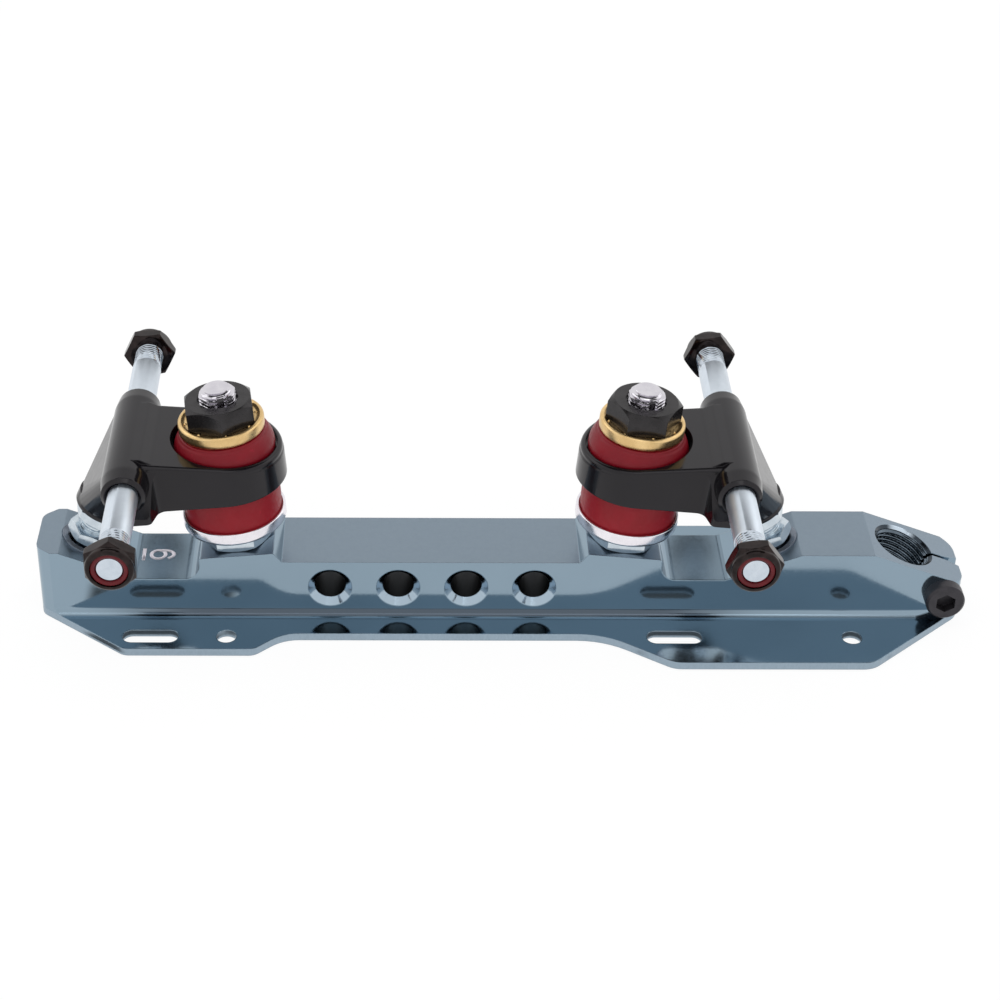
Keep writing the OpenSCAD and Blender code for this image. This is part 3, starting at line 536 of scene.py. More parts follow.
cup_finish = finish("polished_aluminium", (0.93, 0.90, 0.94), (0.83, 0.80, 0.85), (0.14, 0.24),
                    metallic=1.0, patch=160, grain=1500, lift=0.001, edge=0.15)
brass_finish = finish("tarnished_brass", (0.90, 0.64, 0.31), (0.74, 0.51, 0.23), (0.26, 0.36),
                      metallic=1.0, patch=240, grain=1300, lift=0.0005)
print("bright metals:", len(bpy.data.materials), "materials so far")

# %% [markdown]
# ## Small parts
# The locking rings are red nylon, which has a lower gloss than paint. The pivot cups are a dark
# nylon with a metallic sheen, and the toe stop's thread is bare cut metal, painted dark as painted
# shade of the deep bore. All three come from the recipe as it is, so only its numbers differ.

# %% Mix the finishes of the small parts
insert_finish = finish("red_nylon", (0.165, 0.005, 0.011), (0.120, 0.004, 0.008), (0.26, 0.38),
                       patch=350, grain=1300, lift=0.004, edge=0.1, IOR=1.38)
pivot_cup_finish = finish("cup_nylon", (0.30, 0.34, 0.40), (0.22, 0.25, 0.30), (0.16, 0.26),
                          metallic=0.6, patch=300, grain=1300, lift=0.001, edge=0.15)
# The thread's dark colour is painted shade of the deep bore.
thread_painted_shade_finish = finish("cut_thread", (0.200, 0.250, 0.300), (0.110, 0.140, 0.170), (0.16, 0.28),
                       metallic=1.0, patch=200, grain=1400, lift=0.001)
print("small parts:", len(bpy.data.materials), "materials so far")

# %% [markdown]
# ## Urethane
# The cushions are cast from dyed urethane. A plain red would look like paint. Light enters urethane
# a little way and comes back redder, which subsurface scattering gives. Fine pale specks of dust
# sit on the skin. The inner cushion is a brighter red than the outer one.

# %% Mix the reds
SPECK_FROM, SPECK_TO, SPECK_SHARE = 0.70, 0.76, 0.4
SPECK_GAIN = (1.5, 3.0, 2.4)


def urethane(name, light, dark):
    """Cast urethane: a satin skin over a body that glows a little where light enters, with specks."""
    made = finish(name, light, dark, (0.36, 0.52), patch=110, grain=1100, lift=0.005, IOR=1.40,
                  Subsurface_Weight=0.15, Subsurface_Scale=0.002)
    tree = made.node_tree
    shader = shader_of(made)
    plain = shader.inputs["Base Color"].links[0].from_socket
    speck = between(tree, patches(tree, 650, 1.0), SPECK_FROM, SPECK_TO)
    pale = tuple(value * gain for value, gain in zip(light, SPECK_GAIN))
    speckled = blended(tree, maths(tree, "MULTIPLY", speck, SPECK_SHARE), plain, pale)
    tree.links.new(speckled, shader.inputs["Base Color"])
    shader.inputs["Subsurface Radius"].default_value = (1.0, 0.12, 0.10)
    return made


inner_red = urethane("inner_urethane", (0.360, 0.005, 0.016), (0.310, 0.004, 0.012))
outer_red = urethane("outer_urethane", (0.275, 0.003, 0.013), (0.230, 0.002, 0.011))
print("reds:", inner_red.name, "and", outer_red.name)

# %% [markdown]
# ## Dress the solids
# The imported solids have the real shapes, so every one gets its finish first. The names say which
# finish: without the words for its end and side, each name is that of a kind of piece.

# %% Give each solid its finish
finishes = {
    "plate_body": plate_finish, "toe_clamp_screw": screw_finish, "hanger": hanger_finish,
    "axle": axle_finish, "axle_nut": oxide_finish, "nut_insert": insert_finish,
    "pivot_pin": zinc_finish, "pivot_jam_nut": zinc_finish, "pivot_cup": pivot_cup_finish,
    "kingpin": chrome_finish, "kingpin_jam_nut": zinc_finish, "kingpin_nut": kingpin_nut_finish,
    "inner_retainer": cup_finish, "inner_cushion": inner_red, "outer_cushion": outer_red,
    "outer_retainer": brass_finish}
ENDS = (("rear", -1), ("front", 1))


def kind_of(name):
    """A node's name without the words that say which end and which side it is on."""
    for word in ("rear_", "front_", "left_", "right_"):
        name = name.removeprefix(word)
    return name


for name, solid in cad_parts.items():
    solid.data.materials.clear()
    solid.data.materials.append(finishes[kind_of(name)])
print("dressed", len(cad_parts), "solids")

# %% [markdown]
# ## Steady normals
# A solid's triangles are loose and would show as facets where it is round. Plain smooth shading
# blurs the flat faces too. So each corner gets its own normal, in which large flat faces count for
# far more than the small triangles of a fillet.

# %% Work out a normal for each corner
NORMAL_STEPS = 150         # triangles whose normals agree to this many steps share a plane
PLANE_STEP = 0.03 * MM     # and their planes lie this close together
TINY = 1e-12               # leaves every triangle some weight


def steady_normals(mesh, degrees):
    """A normal for each corner of each triangle: the sum over the triangles at that point that lean
    away less than degrees, each weighted by the squared area of the whole plane it belongs to. So a
    flat face stays flat up to its edge, and a fillet starts along it."""
    count = len(mesh.polygons)
    corner_point, area = np.empty(count * 3, int), np.empty(count)
    normal, centre = np.empty(count * 3), np.empty(count * 3)
    mesh.loops.foreach_get("vertex_index", corner_point)
    mesh.polygons.foreach_get("normal", normal)
    mesh.polygons.foreach_get("area", area)
    mesh.polygons.foreach_get("center", centre)
    normal, centre = normal.reshape(-1, 3), centre.reshape(-1, 3)
    offset = (normal * centre).sum(1)
    planes = np.column_stack([np.round(normal * NORMAL_STEPS), np.round(offset / PLANE_STEP)])
    _, plane = np.unique(planes, axis=0, return_inverse=True)
    plane = plane.ravel()
    weight = np.bincount(plane, area)[plane] ** 2 / area.max() ** 2 + TINY
    order = np.argsort(corner_point, kind="stable")
    _, start, size = np.unique(corner_point[order], return_index=True, return_counts=True)
    many = np.repeat(size, size)
    first = np.repeat(np.arange(len(order)), many)
    run = np.arange(len(first)) - np.repeat(np.cumsum(many) - many, many)
    second = np.repeat(np.repeat(start, size), many) + run
    first, second = order[first], order[second]
    near = (normal[first // 3] * normal[second // 3]).sum(1) > math.cos(math.radians(degrees))
    share = np.where(near, weight[second // 3], 0.0)
    total = np.stack([np.bincount(first, share * normal[second // 3, axis], count * 3)
                      for axis in range(3)], axis=1)
    return total / np.linalg.norm(total, axis=1)[:, None]


print("normals lean on flat faces, told apart in steps of 1 /", NORMAL_STEPS)

# %% [markdown]
# ## Smooth copies
# The plate, hangers, pivot cups and clamp screw keep their solids' shapes. Each is copied, its
# points are joined, and the copy takes the solid's place. The clamp screw stops wherever it is
# tight: in the photograph its socket has a corner at the bottom, so its copy is turned.

# %% Copy the large solids
JOIN_WITHIN = 1e-6
SCREW_TURN = 30.0


def smooth_copy(name, body, degrees=19.0, turn=0.0):
    """A copy of a solid with its points joined and steady normals. turn swings it, in degrees,
    about the line along Y through the middle of its box."""
    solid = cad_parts[name]
    mesh = solid.data.copy()
    mesh.transform(solid.matrix_world)
    if turn:
        spots = np.empty(len(mesh.vertices) * 3)
        mesh.vertices.foreach_get("co", spots)
        spots = spots.reshape(-1, 3)
        middle = Matrix.Translation(((spots.min(0) + spots.max(0)) / 2).tolist())
        mesh.transform(middle @ Matrix.Rotation(math.radians(turn), 4, "Y") @ middle.inverted())
    form = bmesh.new()
    form.from_mesh(mesh)
    bmesh.ops.remove_doubles(form, verts=form.verts, dist=JOIN_WITHIN)
    form.to_mesh(mesh)
    form.free()
    mesh.shade_smooth()
    mesh.normals_split_custom_set(steady_normals(mesh, degrees).tolist())
    made = bpy.data.objects.new(f"{name}_skin", mesh)
    bpy.context.scene.collection.objects.link(made)
    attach(made, body)
    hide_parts(name)
    return made


plate_skin = smooth_copy("plate_body", "plate")
smooth_copy("toe_clamp_screw", "plate", turn=SCREW_TURN)
for end, _ in ENDS:
    smooth_copy(f"{end}_hanger", f"{end}_truck")
    smooth_copy(f"{end}_pivot_cup", "plate")
print("the plate's copy has", len(plate_skin.data.polygons), "triangles")

# %% [markdown]
# ## Surfaces from arrays
# A turned piece is a grid: one way along its axis, the other way round it. A Screw modifier could
# turn a profile too, but here the radius may change with the angle as well, which is all that a
# thread or a hexagon needs. The whole grid is worked out at once as an array.

# %% Place a grid of radii in space
def shaft_axes(place, direction, side=(0.0, 1.0, 0.0)):
    """Place and three unit vectors, in metres: two across the shaft and one along it."""
    along = np.array(direction, float) / np.linalg.norm(direction)
    second = np.array(side, float)
    first = np.cross(second, along)
    first /= np.linalg.norm(first)
    return np.array(place, float) * MM, first, np.cross(along, first), along


def turned_points(axes, radius, angle, height):
    """Points of a turned surface: place + radius (cos angle first + sin angle second) + height
    along. The arrays are in millimetres and radians, and of one shape."""
    place, first, second, along = axes
    across = np.cos(angle)[..., None] * first + np.sin(angle)[..., None] * second
    return place + MM * (radius[..., None] * across + height[..., None] * along)


def grid_faces(rows, columns, wrap):
    """Quads between neighbouring points of a grid. wrap joins the last column to the first."""
    row, column = np.meshgrid(np.arange(rows - 1), np.arange(columns if wrap else columns - 1),
                              indexing="ij")
    beside = (column + 1) % columns
    quads = np.stack([row * columns + column, row * columns + beside,
                      (row + 1) * columns + beside, (row + 1) * columns + column], axis=-1)
    return quads.reshape(-1, 4)


print("a closed grid of 3 by 8 points has", len(grid_faces(3, 8, True)), "quads")

# %% [markdown]
# ## From arrays to pieces
# Blender takes the arrays as lists. Where a profile meets its own axis, or where a grid closes on
# itself, points fall together: they are merged, and the faces are turned outward after that.

# %% Make mesh objects from arrays
MERGE_WITHIN, DISSOLVE_WITHIN = 1e-7, 1e-8


def piece(name, points, faces, material, body=None, smooth=35.0):
    """A mesh object from arrays, with its loose doubles merged, its faces turned outward, and
    edges sharper than smooth degrees kept sharp. It rides on body."""
    mesh = bpy.data.meshes.new(name)
    lists = faces if isinstance(faces, list) else faces.tolist()
    mesh.from_pydata(points.reshape(-1, 3).tolist(), [], lists)
    form = bmesh.new()
    form.from_mesh(mesh)
    bmesh.ops.remove_doubles(form, verts=form.verts, dist=MERGE_WITHIN)
    bmesh.ops.dissolve_degenerate(form, edges=form.edges, dist=DISSOLVE_WITHIN)
    bmesh.ops.recalc_face_normals(form, faces=form.faces)
    form.to_mesh(mesh)
    form.free()
    mesh.shade_smooth()
    mesh.set_sharp_from_angle(angle=math.radians(smooth))
    mesh.materials.append(material)
    made = bpy.data.objects.new(name, mesh)
    bpy.context.scene.collection.objects.link(made)
    if body:
        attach(made, body)
    return made


def turned_piece(name, axes, profile, material, slot, body=None, around=96, shape=None,
                 smooth=35.0):
    """A closed turned piece. profile has rows of height and radius, and starts and ends on the
    axis or in one point. shape(angle, height, radius) gives new heights and radii: it may cut a
    thread or a hexagon."""
    height, radius = np.array(profile, float).T
    angle = np.arange(around) * 2 * np.pi / around
    angle, height = np.meshgrid(angle, height)
    radius = np.repeat(radius[:, None], around, axis=1)
    if shape:
        height, radius = shape(angle, height, radius)
    points = turned_points(axes, radius, angle, height)
    return piece(name, points, grid_faces(*radius.shape, True), material, body, smooth)


print("points closer than", MERGE_WITHIN, "m are merged")

# %% [markdown]
# ## Threads
# A thread is a ridge that climbs one pitch in each turn. Measure how far a point lies past its
# ridge, as the height in pitches less the turn, and drop the whole number: what is left runs from
# 0 to 1 over one ridge. A trapezium of that value is the ridge's shape. A ridge could be a tube
# wound round the rod, but then two skins would cut into each other: here rod and ridge are one.

# %% The thread's formula
THREAD_STEPS = 10
RIDGE_TOP, RIDGE_SLOPE = 2.2, 4.4


def ridge_of(angle, height, pitch, top, slope):
    """How much of a ridge stands at each point: top less slope times the distance of
    (height / pitch - angle / 2 pi), without its whole number, from a half. Held from 0 to 1."""
    phase = (height / pitch - angle / (2 * np.pi)) % 1.0
    return np.clip(top - slope * np.abs(phase - 0.5), 0, 1)


def thread(pitch, root, crest, low, high):
    """A shape for turned_piece: between the heights low and high the radius is root plus the
    ridge's share of the way up to crest, and the thread fades in at both ends."""
    def cut(angle, height, radius):
        ridge = ridge_of(angle, height, pitch, RIDGE_TOP, RIDGE_SLOPE)
        inside = np.clip(np.minimum(height - low, high - height) / (0.5 * pitch) + 0.5, 0, 1)
        return height, radius + inside * (root + (crest - root) * ridge - radius)
    return cut


def runs(*stretches):
    """Heights along a shaft: rows of start, end and the number of steps between them."""
    return np.concatenate([np.linspace(a, b, n, endpoint=False) for a, b, n in stretches])


print("rings in each turn of a thread:", THREAD_STEPS)

# %% [markdown]
# ## Axles
# Each axle is a drawn 8 mm rod. Its ends are turned down and threaded for the lock nuts, and its
# tips stand in the nuts' red locking rings. The rod is one turned grid with a fine thread, and
# half of its profile is written down: the other half mirrors it.

# %% Make the axles
AXLE_X, AXLE_Z = 80.0, 48.4
AXLE_HALF, AXLE_R = 54.25, 4.0
TIP_R, TIP_FROM, TIP_EDGE = 3.575, 52.4, 0.35
THREAD_FROM, AXLE_PITCH, AXLE_ROOT, AXLE_CREST = 41.95, 1.0, 3.42, 3.88
NECK_LENGTH, NECK_DROP, THREAD_LEAD, THREAD_STOP = 0.2, 0.12, 0.15, 0.05


def axle_thread(angle, height, radius):
    """The same right-handed ridge at both ends of the rod."""
    for low, high in ((THREAD_FROM, TIP_FROM), (-TIP_FROM, -THREAD_FROM)):
        height, radius = thread(AXLE_PITCH, AXLE_ROOT, AXLE_CREST, low, high)(angle, height, radius)
    return height, radius


thread_rows = int((TIP_FROM - THREAD_FROM) / AXLE_PITCH * THREAD_STEPS)
end_heights = runs((THREAD_FROM + THREAD_LEAD, TIP_FROM - THREAD_STOP, thread_rows))
half_profile = ([(0.0, AXLE_R), (THREAD_FROM - NECK_LENGTH, AXLE_R),
                 (THREAD_FROM, AXLE_R - NECK_DROP)]
                + [(h, AXLE_CREST) for h in end_heights]
                + [(TIP_FROM, TIP_R), (AXLE_HALF - TIP_EDGE, TIP_R),
                   (AXLE_HALF, TIP_R - TIP_EDGE), (AXLE_HALF, 0)])
axle_profile = [(-h, r) for h, r in half_profile[:0:-1]] + half_profile
for end, side in ENDS:
    axle = turned_piece(f"{end}_axle_rod", shaft_axes((side * AXLE_X, 0, AXLE_Z), (0, 1, 0), (0, 0, 1)),
                        axle_profile, axle_finish, "axle_steel", f"{end}_truck", shape=axle_thread)
    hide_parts(f"{end}_axle")
print("axle rods:", len(axle_profile), "rings each")

# %% [markdown]
# ## Kingpins
# A kingpin is plated steel. Only its end shows, out of the top nut: a flat tip, a wide chamfer and
# three turns of thread, with narrow flats and one groove cut down them. A Boolean could cut those,
# but on a turned grid a cut is only a smaller radius at some angles, and the mesh stays whole.

# %% Make the kingpins
KINGPIN_X, KINGPIN_Z, KINGPIN_TILT = 52.65, 21.35, math.radians(5)
KINGPIN_FOOT, KINGPIN_TOP, KINGPIN_R = -19.42, 47.0, 5.0
PIN_THREAD_FROM, PIN_PITCH, PIN_DEPTH = 42.6, 1.0, 0.15
PIN_CHAMFER, PIN_TIP_R = 1.6, 3.4
FLAT_REACH, GROOVE_WIDTH, GROOVE_REACH = 4.75, 2.5, 4.0
GROOVE_AT = math.radians(-72)
VALLEY_EDGE, VALLEY_SLOPE, VALLEY_FADE = -0.5, -3.2, 0.25
PIN_LEAD, PIN_RINGS = 0.02, 72


def kingpin_axes(side):
    """On the kingpin's boss face, with the axis up the kingpin."""
    return shaft_axes((side * KINGPIN_X, 0, KINGPIN_Z),
                      (side * math.sin(KINGPIN_TILT), 0, math.cos(KINGPIN_TILT)))


def kingpin_end(angle, height, radius):
    """The thread is cut into the rod and its chamfer alike, as a share of the radius: its valley is
    the ridge's formula turned over. Eight flats at FLAT_REACH and a groove toward GROOVE_AT are cut
    across it."""
    valley = ridge_of(angle, height, PIN_PITCH, VALLEY_EDGE, VALLEY_SLOPE)
    valley = valley * np.clip((KINGPIN_TOP - height) / VALLEY_FADE, 0, 1)
    cut = radius * (1 - PIN_DEPTH * valley)
    eighth = np.pi / 4
    from_middle = (angle + eighth / 2) % eighth - eighth / 2
    cut = np.minimum(cut, FLAT_REACH / np.cos(from_middle))
    off = (angle - GROOVE_AT + np.pi) % (2 * np.pi) - np.pi
    cut = np.where(np.abs(off) * KINGPIN_R < GROOVE_WIDTH / 2, np.minimum(cut, GROOVE_REACH), cut)
    return height, np.where(height > PIN_THREAD_FROM, cut, radius)


pin_heights = runs((PIN_THREAD_FROM + PIN_LEAD, KINGPIN_TOP, PIN_RINGS))
from_top = KINGPIN_TOP - pin_heights
chamfered = np.minimum(KINGPIN_R, PIN_TIP_R + from_top * (KINGPIN_R - PIN_TIP_R) / PIN_CHAMFER)
pin_profile = ([(KINGPIN_FOOT, 0), (KINGPIN_FOOT, KINGPIN_R), (PIN_THREAD_FROM, KINGPIN_R)]
               + list(zip(pin_heights, chamfered)) + [(KINGPIN_TOP, PIN_TIP_R), (KINGPIN_TOP, 0)])
for end, side in ENDS:
    pin = turned_piece(f"{end}_kingpin_bolt", kingpin_axes(side), pin_profile, chrome_finish,
                       "kingpin_chrome", "plate", around=144, shape=kingpin_end, smooth=28)
    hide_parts(f"{end}_kingpin")
print("kingpins:", len(pin_profile), "rings each")

# %% [markdown]
# ## Nuts
# A nut is a hexagonal bar with a cone turned on its ends. Where the cone leaves the flats it draws
# an arc on each of them. A prism with bevelled edges has no such arcs. So each ring of the grid is
# pushed out to the hexagon, and its height is moved to where the cone meets it at that angle.

# %% The hexagon's formula
WIDE = 50.0    # a radius that stands for the hexagon


def hexagon(across_flats, low, high, cone_low, cone_high, spin=0.0):
    """A shape for turned_piece. Points with a radius of WIDE go out to the hexagon, whose radius is
    half its width across flats over the cosine of the angle from the middle of the flat. Their
    heights go in from low or high by what the cone takes there: cone is its start radius and its
    rise."""
    def cut(angle, height, radius):
        sixth = np.pi / 3
        from_middle = (angle - spin) % sixth - sixth / 2
        reach = across_flats / 2 / np.cos(from_middle)
        wide = radius >= WIDE
        inward = np.where(height < (low + high) / 2, low + (reach - cone_low[0]) * cone_low[1],
                          high - (reach - cone_high[0]) * cone_high[1])
        return np.where(wide, inward, height), np.where(wide, reach, radius)
    return cut


def nut_profile(low, high, cone, bore, top):
    """Rows of a nut: out from the bore's lower rim to the hexagon, up it, in to the cone, over
    what top gives, and back to the bore."""
    return [(low, bore), (low, cone), (low, WIDE), (high, WIDE), (high, cone), *top, (low, bore)]


print("a corner of a half-inch hexagon reaches", round(12.7 / 2 / math.cos(np.pi / 6), 2), "mm out")

# %% [markdown]
# ## Kingpin nuts
# A large black nut presses the brass cup down. Its cone is steeper on top than below, and its bore
# has a small sink. A bright jam nut locks the kingpin on its boss in the plate. One formula makes
# both: only their heights, their cones and their turn differ.

# %% Make the kingpins' nuts
NUT_AF, NUT_FROM, NUT_TO, NUT_CONE_R, NUT_BORE, NUT_SINK = 17.5, 37.44, 43.74, 8.55, 5.02, 0.55
NUT_RISE_LOW, NUT_RISE_HIGH, BEVEL_RISE = 0.2, 0.8, 0.56
JAM_FROM, JAM_TO = 0.02, 5.3
NUT_SPIN = {"rear": 23.0, "front": 0.0}
nut_rows = nut_profile(NUT_FROM, NUT_TO, NUT_CONE_R, NUT_BORE,
                       [(NUT_TO, NUT_BORE + NUT_SINK), (NUT_TO - NUT_SINK, NUT_BORE)])
jam_rows = nut_profile(JAM_FROM, JAM_TO, NUT_CONE_R, NUT_BORE, [(JAM_TO, NUT_BORE)])
jam_hex = hexagon(NUT_AF, JAM_FROM, JAM_TO, (NUT_CONE_R, BEVEL_RISE), (NUT_CONE_R, BEVEL_RISE))
for end, side in ENDS:
    nut_hex = hexagon(NUT_AF, NUT_FROM, NUT_TO, (NUT_CONE_R, NUT_RISE_LOW),
                      (NUT_CONE_R, NUT_RISE_HIGH), math.radians(side * NUT_SPIN[end]))
    nut = turned_piece(f"{end}_top_nut", kingpin_axes(side), nut_rows, kingpin_nut_finish,
                       "black_nut", "plate", shape=nut_hex)
    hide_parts(f"{end}_kingpin_nut")
    nut = turned_piece(f"{end}_lower_nut", kingpin_axes(side), jam_rows, zinc_finish,
                       "zinc_steel", "plate", shape=jam_hex)
    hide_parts(f"{end}_kingpin_jam_nut")
print("kingpin nuts:", round(NUT_TO - NUT_FROM, 2), "and", round(JAM_TO - JAM_FROM, 2), "mm tall")

# %% [markdown]
# ## Axle lock nuts
# Each axle end carries a half-inch lock nut: a short hexagon with a round collar, whose rolled lip
# holds a red nylon ring. The ring grips the thread so that the nut can't shake loose. Both are
# turned grids on the axle's line, and a quarter round in the profile gives the lip its roll.

# %% Make the axle nuts and their locking rings
AXLE_NUT_AF, AXLE_NUT_IN, AXLE_NUT_OUT, AXLE_CONE_R, HEX_LENGTH = 12.7, 49.8, 55.1, 6.15, 3.7
COLLAR_R, LIP_R, SEAT_R, AXLE_BORE, SEAT_DEPTH, RING_R = 6.25, 1.1, 4.87, 3.9, 2.68, 4.85
AXLE_RISE_OUT, RING_SINK, RING_BULGE, SNUG = 0.7, 0.3, 0.45, 0.02
AXLE_NUT_SPIN = {"rear_left": 4, "rear_right": 30, "front_left": -7, "front_right": 8}


def rounded_to(corner, radius, start, steps=7):
    """A quarter round of a profile about corner, from start degrees, as rows of height, radius."""
    turn = np.radians(start + np.linspace(0, 90, steps))
    return [(corner[0] + radius * math.cos(a), corner[1] + radius * math.sin(a)) for a in turn]


hex_to, seat_from = AXLE_NUT_IN + HEX_LENGTH, AXLE_NUT_OUT - SEAT_DEPTH
lip = rounded_to((AXLE_NUT_OUT - LIP_R, COLLAR_R - LIP_R), LIP_R, 0)[::-1]
lock_rows = [(AXLE_NUT_IN, AXLE_BORE), (AXLE_NUT_IN, AXLE_CONE_R), (AXLE_NUT_IN, WIDE),
             (hex_to, WIDE), (hex_to, COLLAR_R), *lip, (AXLE_NUT_OUT, SEAT_R),
             (seat_from, SEAT_R), (seat_from, AXLE_BORE), (AXLE_NUT_IN, AXLE_BORE)]
ring_in, ring_out, hole = seat_from + SNUG, AXLE_NUT_OUT - RING_SINK, TIP_R + SNUG
ring_rows = [(ring_in, hole), (ring_in, RING_R),
             *rounded_to((ring_out - RING_BULGE, RING_R - RING_BULGE), RING_BULGE, 0)[::-1],
             *rounded_to((ring_out - RING_BULGE, hole + RING_BULGE), RING_BULGE, 270)[::-1],
             (ring_in, hole)]
for end, side in ENDS:
    for hand, way in (("left", 1), ("right", -1)):
        which = f"{end}_{hand}"
        axes = shaft_axes((side * AXLE_X, 0, AXLE_Z), (0, way, 0), (0, 0, 1))
        lock_hex = hexagon(AXLE_NUT_AF, AXLE_NUT_IN, hex_to, (AXLE_CONE_R, BEVEL_RISE),
                           (AXLE_CONE_R, AXLE_RISE_OUT), math.radians(side * AXLE_NUT_SPIN[which]))
        nut = turned_piece(f"{which}_lock_nut", axes, lock_rows, oxide_finish, "black_nut",
                           f"{end}_truck", shape=lock_hex)
        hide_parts(f"{which}_axle_nut")
        ring = turned_piece(f"{which}_lock_ring", axes, ring_rows, insert_finish, "nut_insert",
                            f"{end}_truck")
        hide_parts(f"{which}_nut_insert")
print("axle nuts:", len(lock_rows), "rings each, locking rings:", len(ring_rows))

# %% [markdown]
# ## Cups that hold the cushions
# The lower cup is polished aluminium, a shallow dish. The upper one is brass pressed from sheet:
# its rim is rolled over into a soft bead, and the nut sits on its sunken floor. A Bevel modifier
# would round every edge alike, but these bends differ, so the profile gives each its own radius.

# %% Make the cups
CUP_FROM, CUP_R, CUP_H, CUP_FLOOR_T = 5.32, 14.05, 3.9, 1.0
CUP_IN_R, CUP_BEND, CUP_EDGE = 13.05, 1.4, 0.4
cup_top = CUP_FROM + CUP_H
dish = [(CUP_FROM, NUT_BORE), *rounded_to((CUP_FROM + CUP_BEND, CUP_R - CUP_BEND), CUP_BEND, 90)[::-1],
        *rounded_to((cup_top - CUP_EDGE, CUP_R - CUP_EDGE), CUP_EDGE, 0)[::-1],
        *rounded_to((cup_top - CUP_EDGE, CUP_IN_R + CUP_EDGE), CUP_EDGE, 270)[::-1],
        (CUP_FROM + CUP_FLOOR_T, CUP_IN_R), (CUP_FROM + CUP_FLOOR_T, NUT_BORE), (CUP_FROM, NUT_BORE)]
BRASS_FROM, BRASS_R, BRASS_TOP, BEAD_R, BRASS_FLOOR = 34.52, 11.5, 38.05, 0.9, 37.42
bead = (BRASS_TOP - BEAD_R, BRASS_R - BEAD_R)
brass = [(BRASS_FROM, NUT_BORE), (BRASS_FROM, BRASS_R - 0.7), (BRASS_FROM + 0.15, BRASS_R - 0.25),
         (BRASS_FROM + 0.5, BRASS_R - 0.05), (BRASS_FROM + 1.4, BRASS_R)]
brass += rounded_to(bead, BEAD_R, 0, 10)[::-1]
brass += [(BRASS_TOP - 0.1, 10.36), (BRASS_TOP - 0.33, 10.12), (BRASS_TOP - 0.53, 9.85),
          (BRASS_TOP - 0.61, 9.6), (BRASS_FLOOR, 9.3), (BRASS_FLOOR, NUT_BORE), (BRASS_FROM, NUT_BORE)]
for end, side in ENDS:
    lower = turned_piece(f"{end}_lower_dish", kingpin_axes(side), dish, cup_finish,
                         "bright_retainer", "plate", around=120)
    upper = turned_piece(f"{end}_brass_dish", kingpin_axes(side), brass, brass_finish,
                         "brass_retainer", "plate", around=120, smooth=60)
    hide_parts(f"{end}_inner_retainer")
    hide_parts(f"{end}_outer_retainer")
print("cups:", len(dish), "and", len(brass), "rings each")

# %% [markdown]
# ## Cushions
# The cushions are cast urethane. The inner one is a plain drum between the bright cup below and
# the hanger's web, and it swells a little where nothing holds it. The outer one sits in the ring
# and tapers up to the brass cup. A cloth simulation could press them, but urethane is stiff: half a
# sine wave added to the radius gives the swell.

# %% The cushions' shapes
INNER_FROM, INNER_TO, INNER_R, INNER_EDGE, SWELL = 6.42, 23.26, 13.0, 0.8, 0.22
INNER_CUP_RIM, RING_BOTTOM, OUTSIDE_FROM = 9.3, 19.4, 0.8
OUTER_FROM, OUTER_TO, OUTER_R, OUTER_TOP_R, OUTER_EDGE = 27.38, 34.40, 13.5, 11.7, 0.6
BORE_R = 5.15


def swollen(low, high, amount):
    """A shape that adds amount times a half sine wave between the heights low and high, on the
    outside only."""
    def swell(angle, height, radius):
        share = np.clip((height - low) / (high - low), 0, 1)
        return height, radius + amount * np.sin(np.pi * share) * (radius > OUTSIDE_FROM * INNER_R)
    return swell


def drum_profile(low, high, r_low, r_high, edge, waist=()):
    """A hollow drum's profile from its bore round the outside and back to the bore."""
    foot = rounded_to((low + edge, r_low - edge), edge, 90)[::-1]
    head = rounded_to((high - edge, r_high - edge), edge, 0)[::-1]
    sides = list(waist) or [(h, r_low) for h in np.linspace(low + edge, high - edge, 14)[1:-1]]
    return [(low, BORE_R)] + foot + sides + head + [(high, BORE_R), (low, BORE_R)]


outer_waist = [(OUTER_FROM + h, r) for h, r in (
    (1.0, 13.5), (1.8, 13.5), (2.6, 13.46), (3.3, 13.36), (3.9, 13.18),
    (4.5, 12.92), (5.1, 12.62), (5.7, 12.30), (6.2, 12.02))]
drum = drum_profile(INNER_FROM, INNER_TO, INNER_R, INNER_R, INNER_EDGE)
cone = drum_profile(OUTER_FROM, OUTER_TO, OUTER_R, OUTER_TOP_R, OUTER_EDGE, outer_waist)
print("cushions: inner", round(INNER_TO - INNER_FROM, 2), "mm tall, outer",
      round(OUTER_TO - OUTER_FROM, 2))

# %% [markdown]
# ## Placing the cushions
# When a truck steers, one end of each cushion goes with the hanger and the other end stays with the
# cup on the kingpin. A shape key or an armature could bend it. Here each cushion is only turned on
# its kingpin's line and fixed in place, so nothing bends it.

# %% Make the cushions
INNER_HELD, OUTER_HELD = 1.5, 1.0    # lengths in millimetres at each end of a cushion


def cushion(name, side, profile, material, low_body, high_body, low, high, **kwargs):
    """A cushion turned on its kingpin's line and fixed in place. low_body, high_body, low and high are
    not used.
    """
    axes = kingpin_axes(side)
    made = turned_piece(name, axes, profile, material, "cushion", around=96, smooth=50, **kwargs)
    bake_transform(made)
    return made


for end, side in ENDS:
    inner = cushion(f"{end}_inner_drum", side, drum, inner_red, "plate", f"{end}_truck",
                    INNER_FROM + INNER_HELD, INNER_TO - INNER_HELD,
                    shape=swollen(INNER_CUP_RIM, RING_BOTTOM, SWELL))
    outer = cushion(f"{end}_outer_cone", side, cone, outer_red, f"{end}_truck", "plate",
                    OUTER_FROM + OUTER_HELD, OUTER_TO - OUTER_HELD)
    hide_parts(f"{end}_inner_cushion")
    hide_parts(f"{end}_outer_cushion")
print("cushions:", len(drum), "and", len(cone), "rings each")

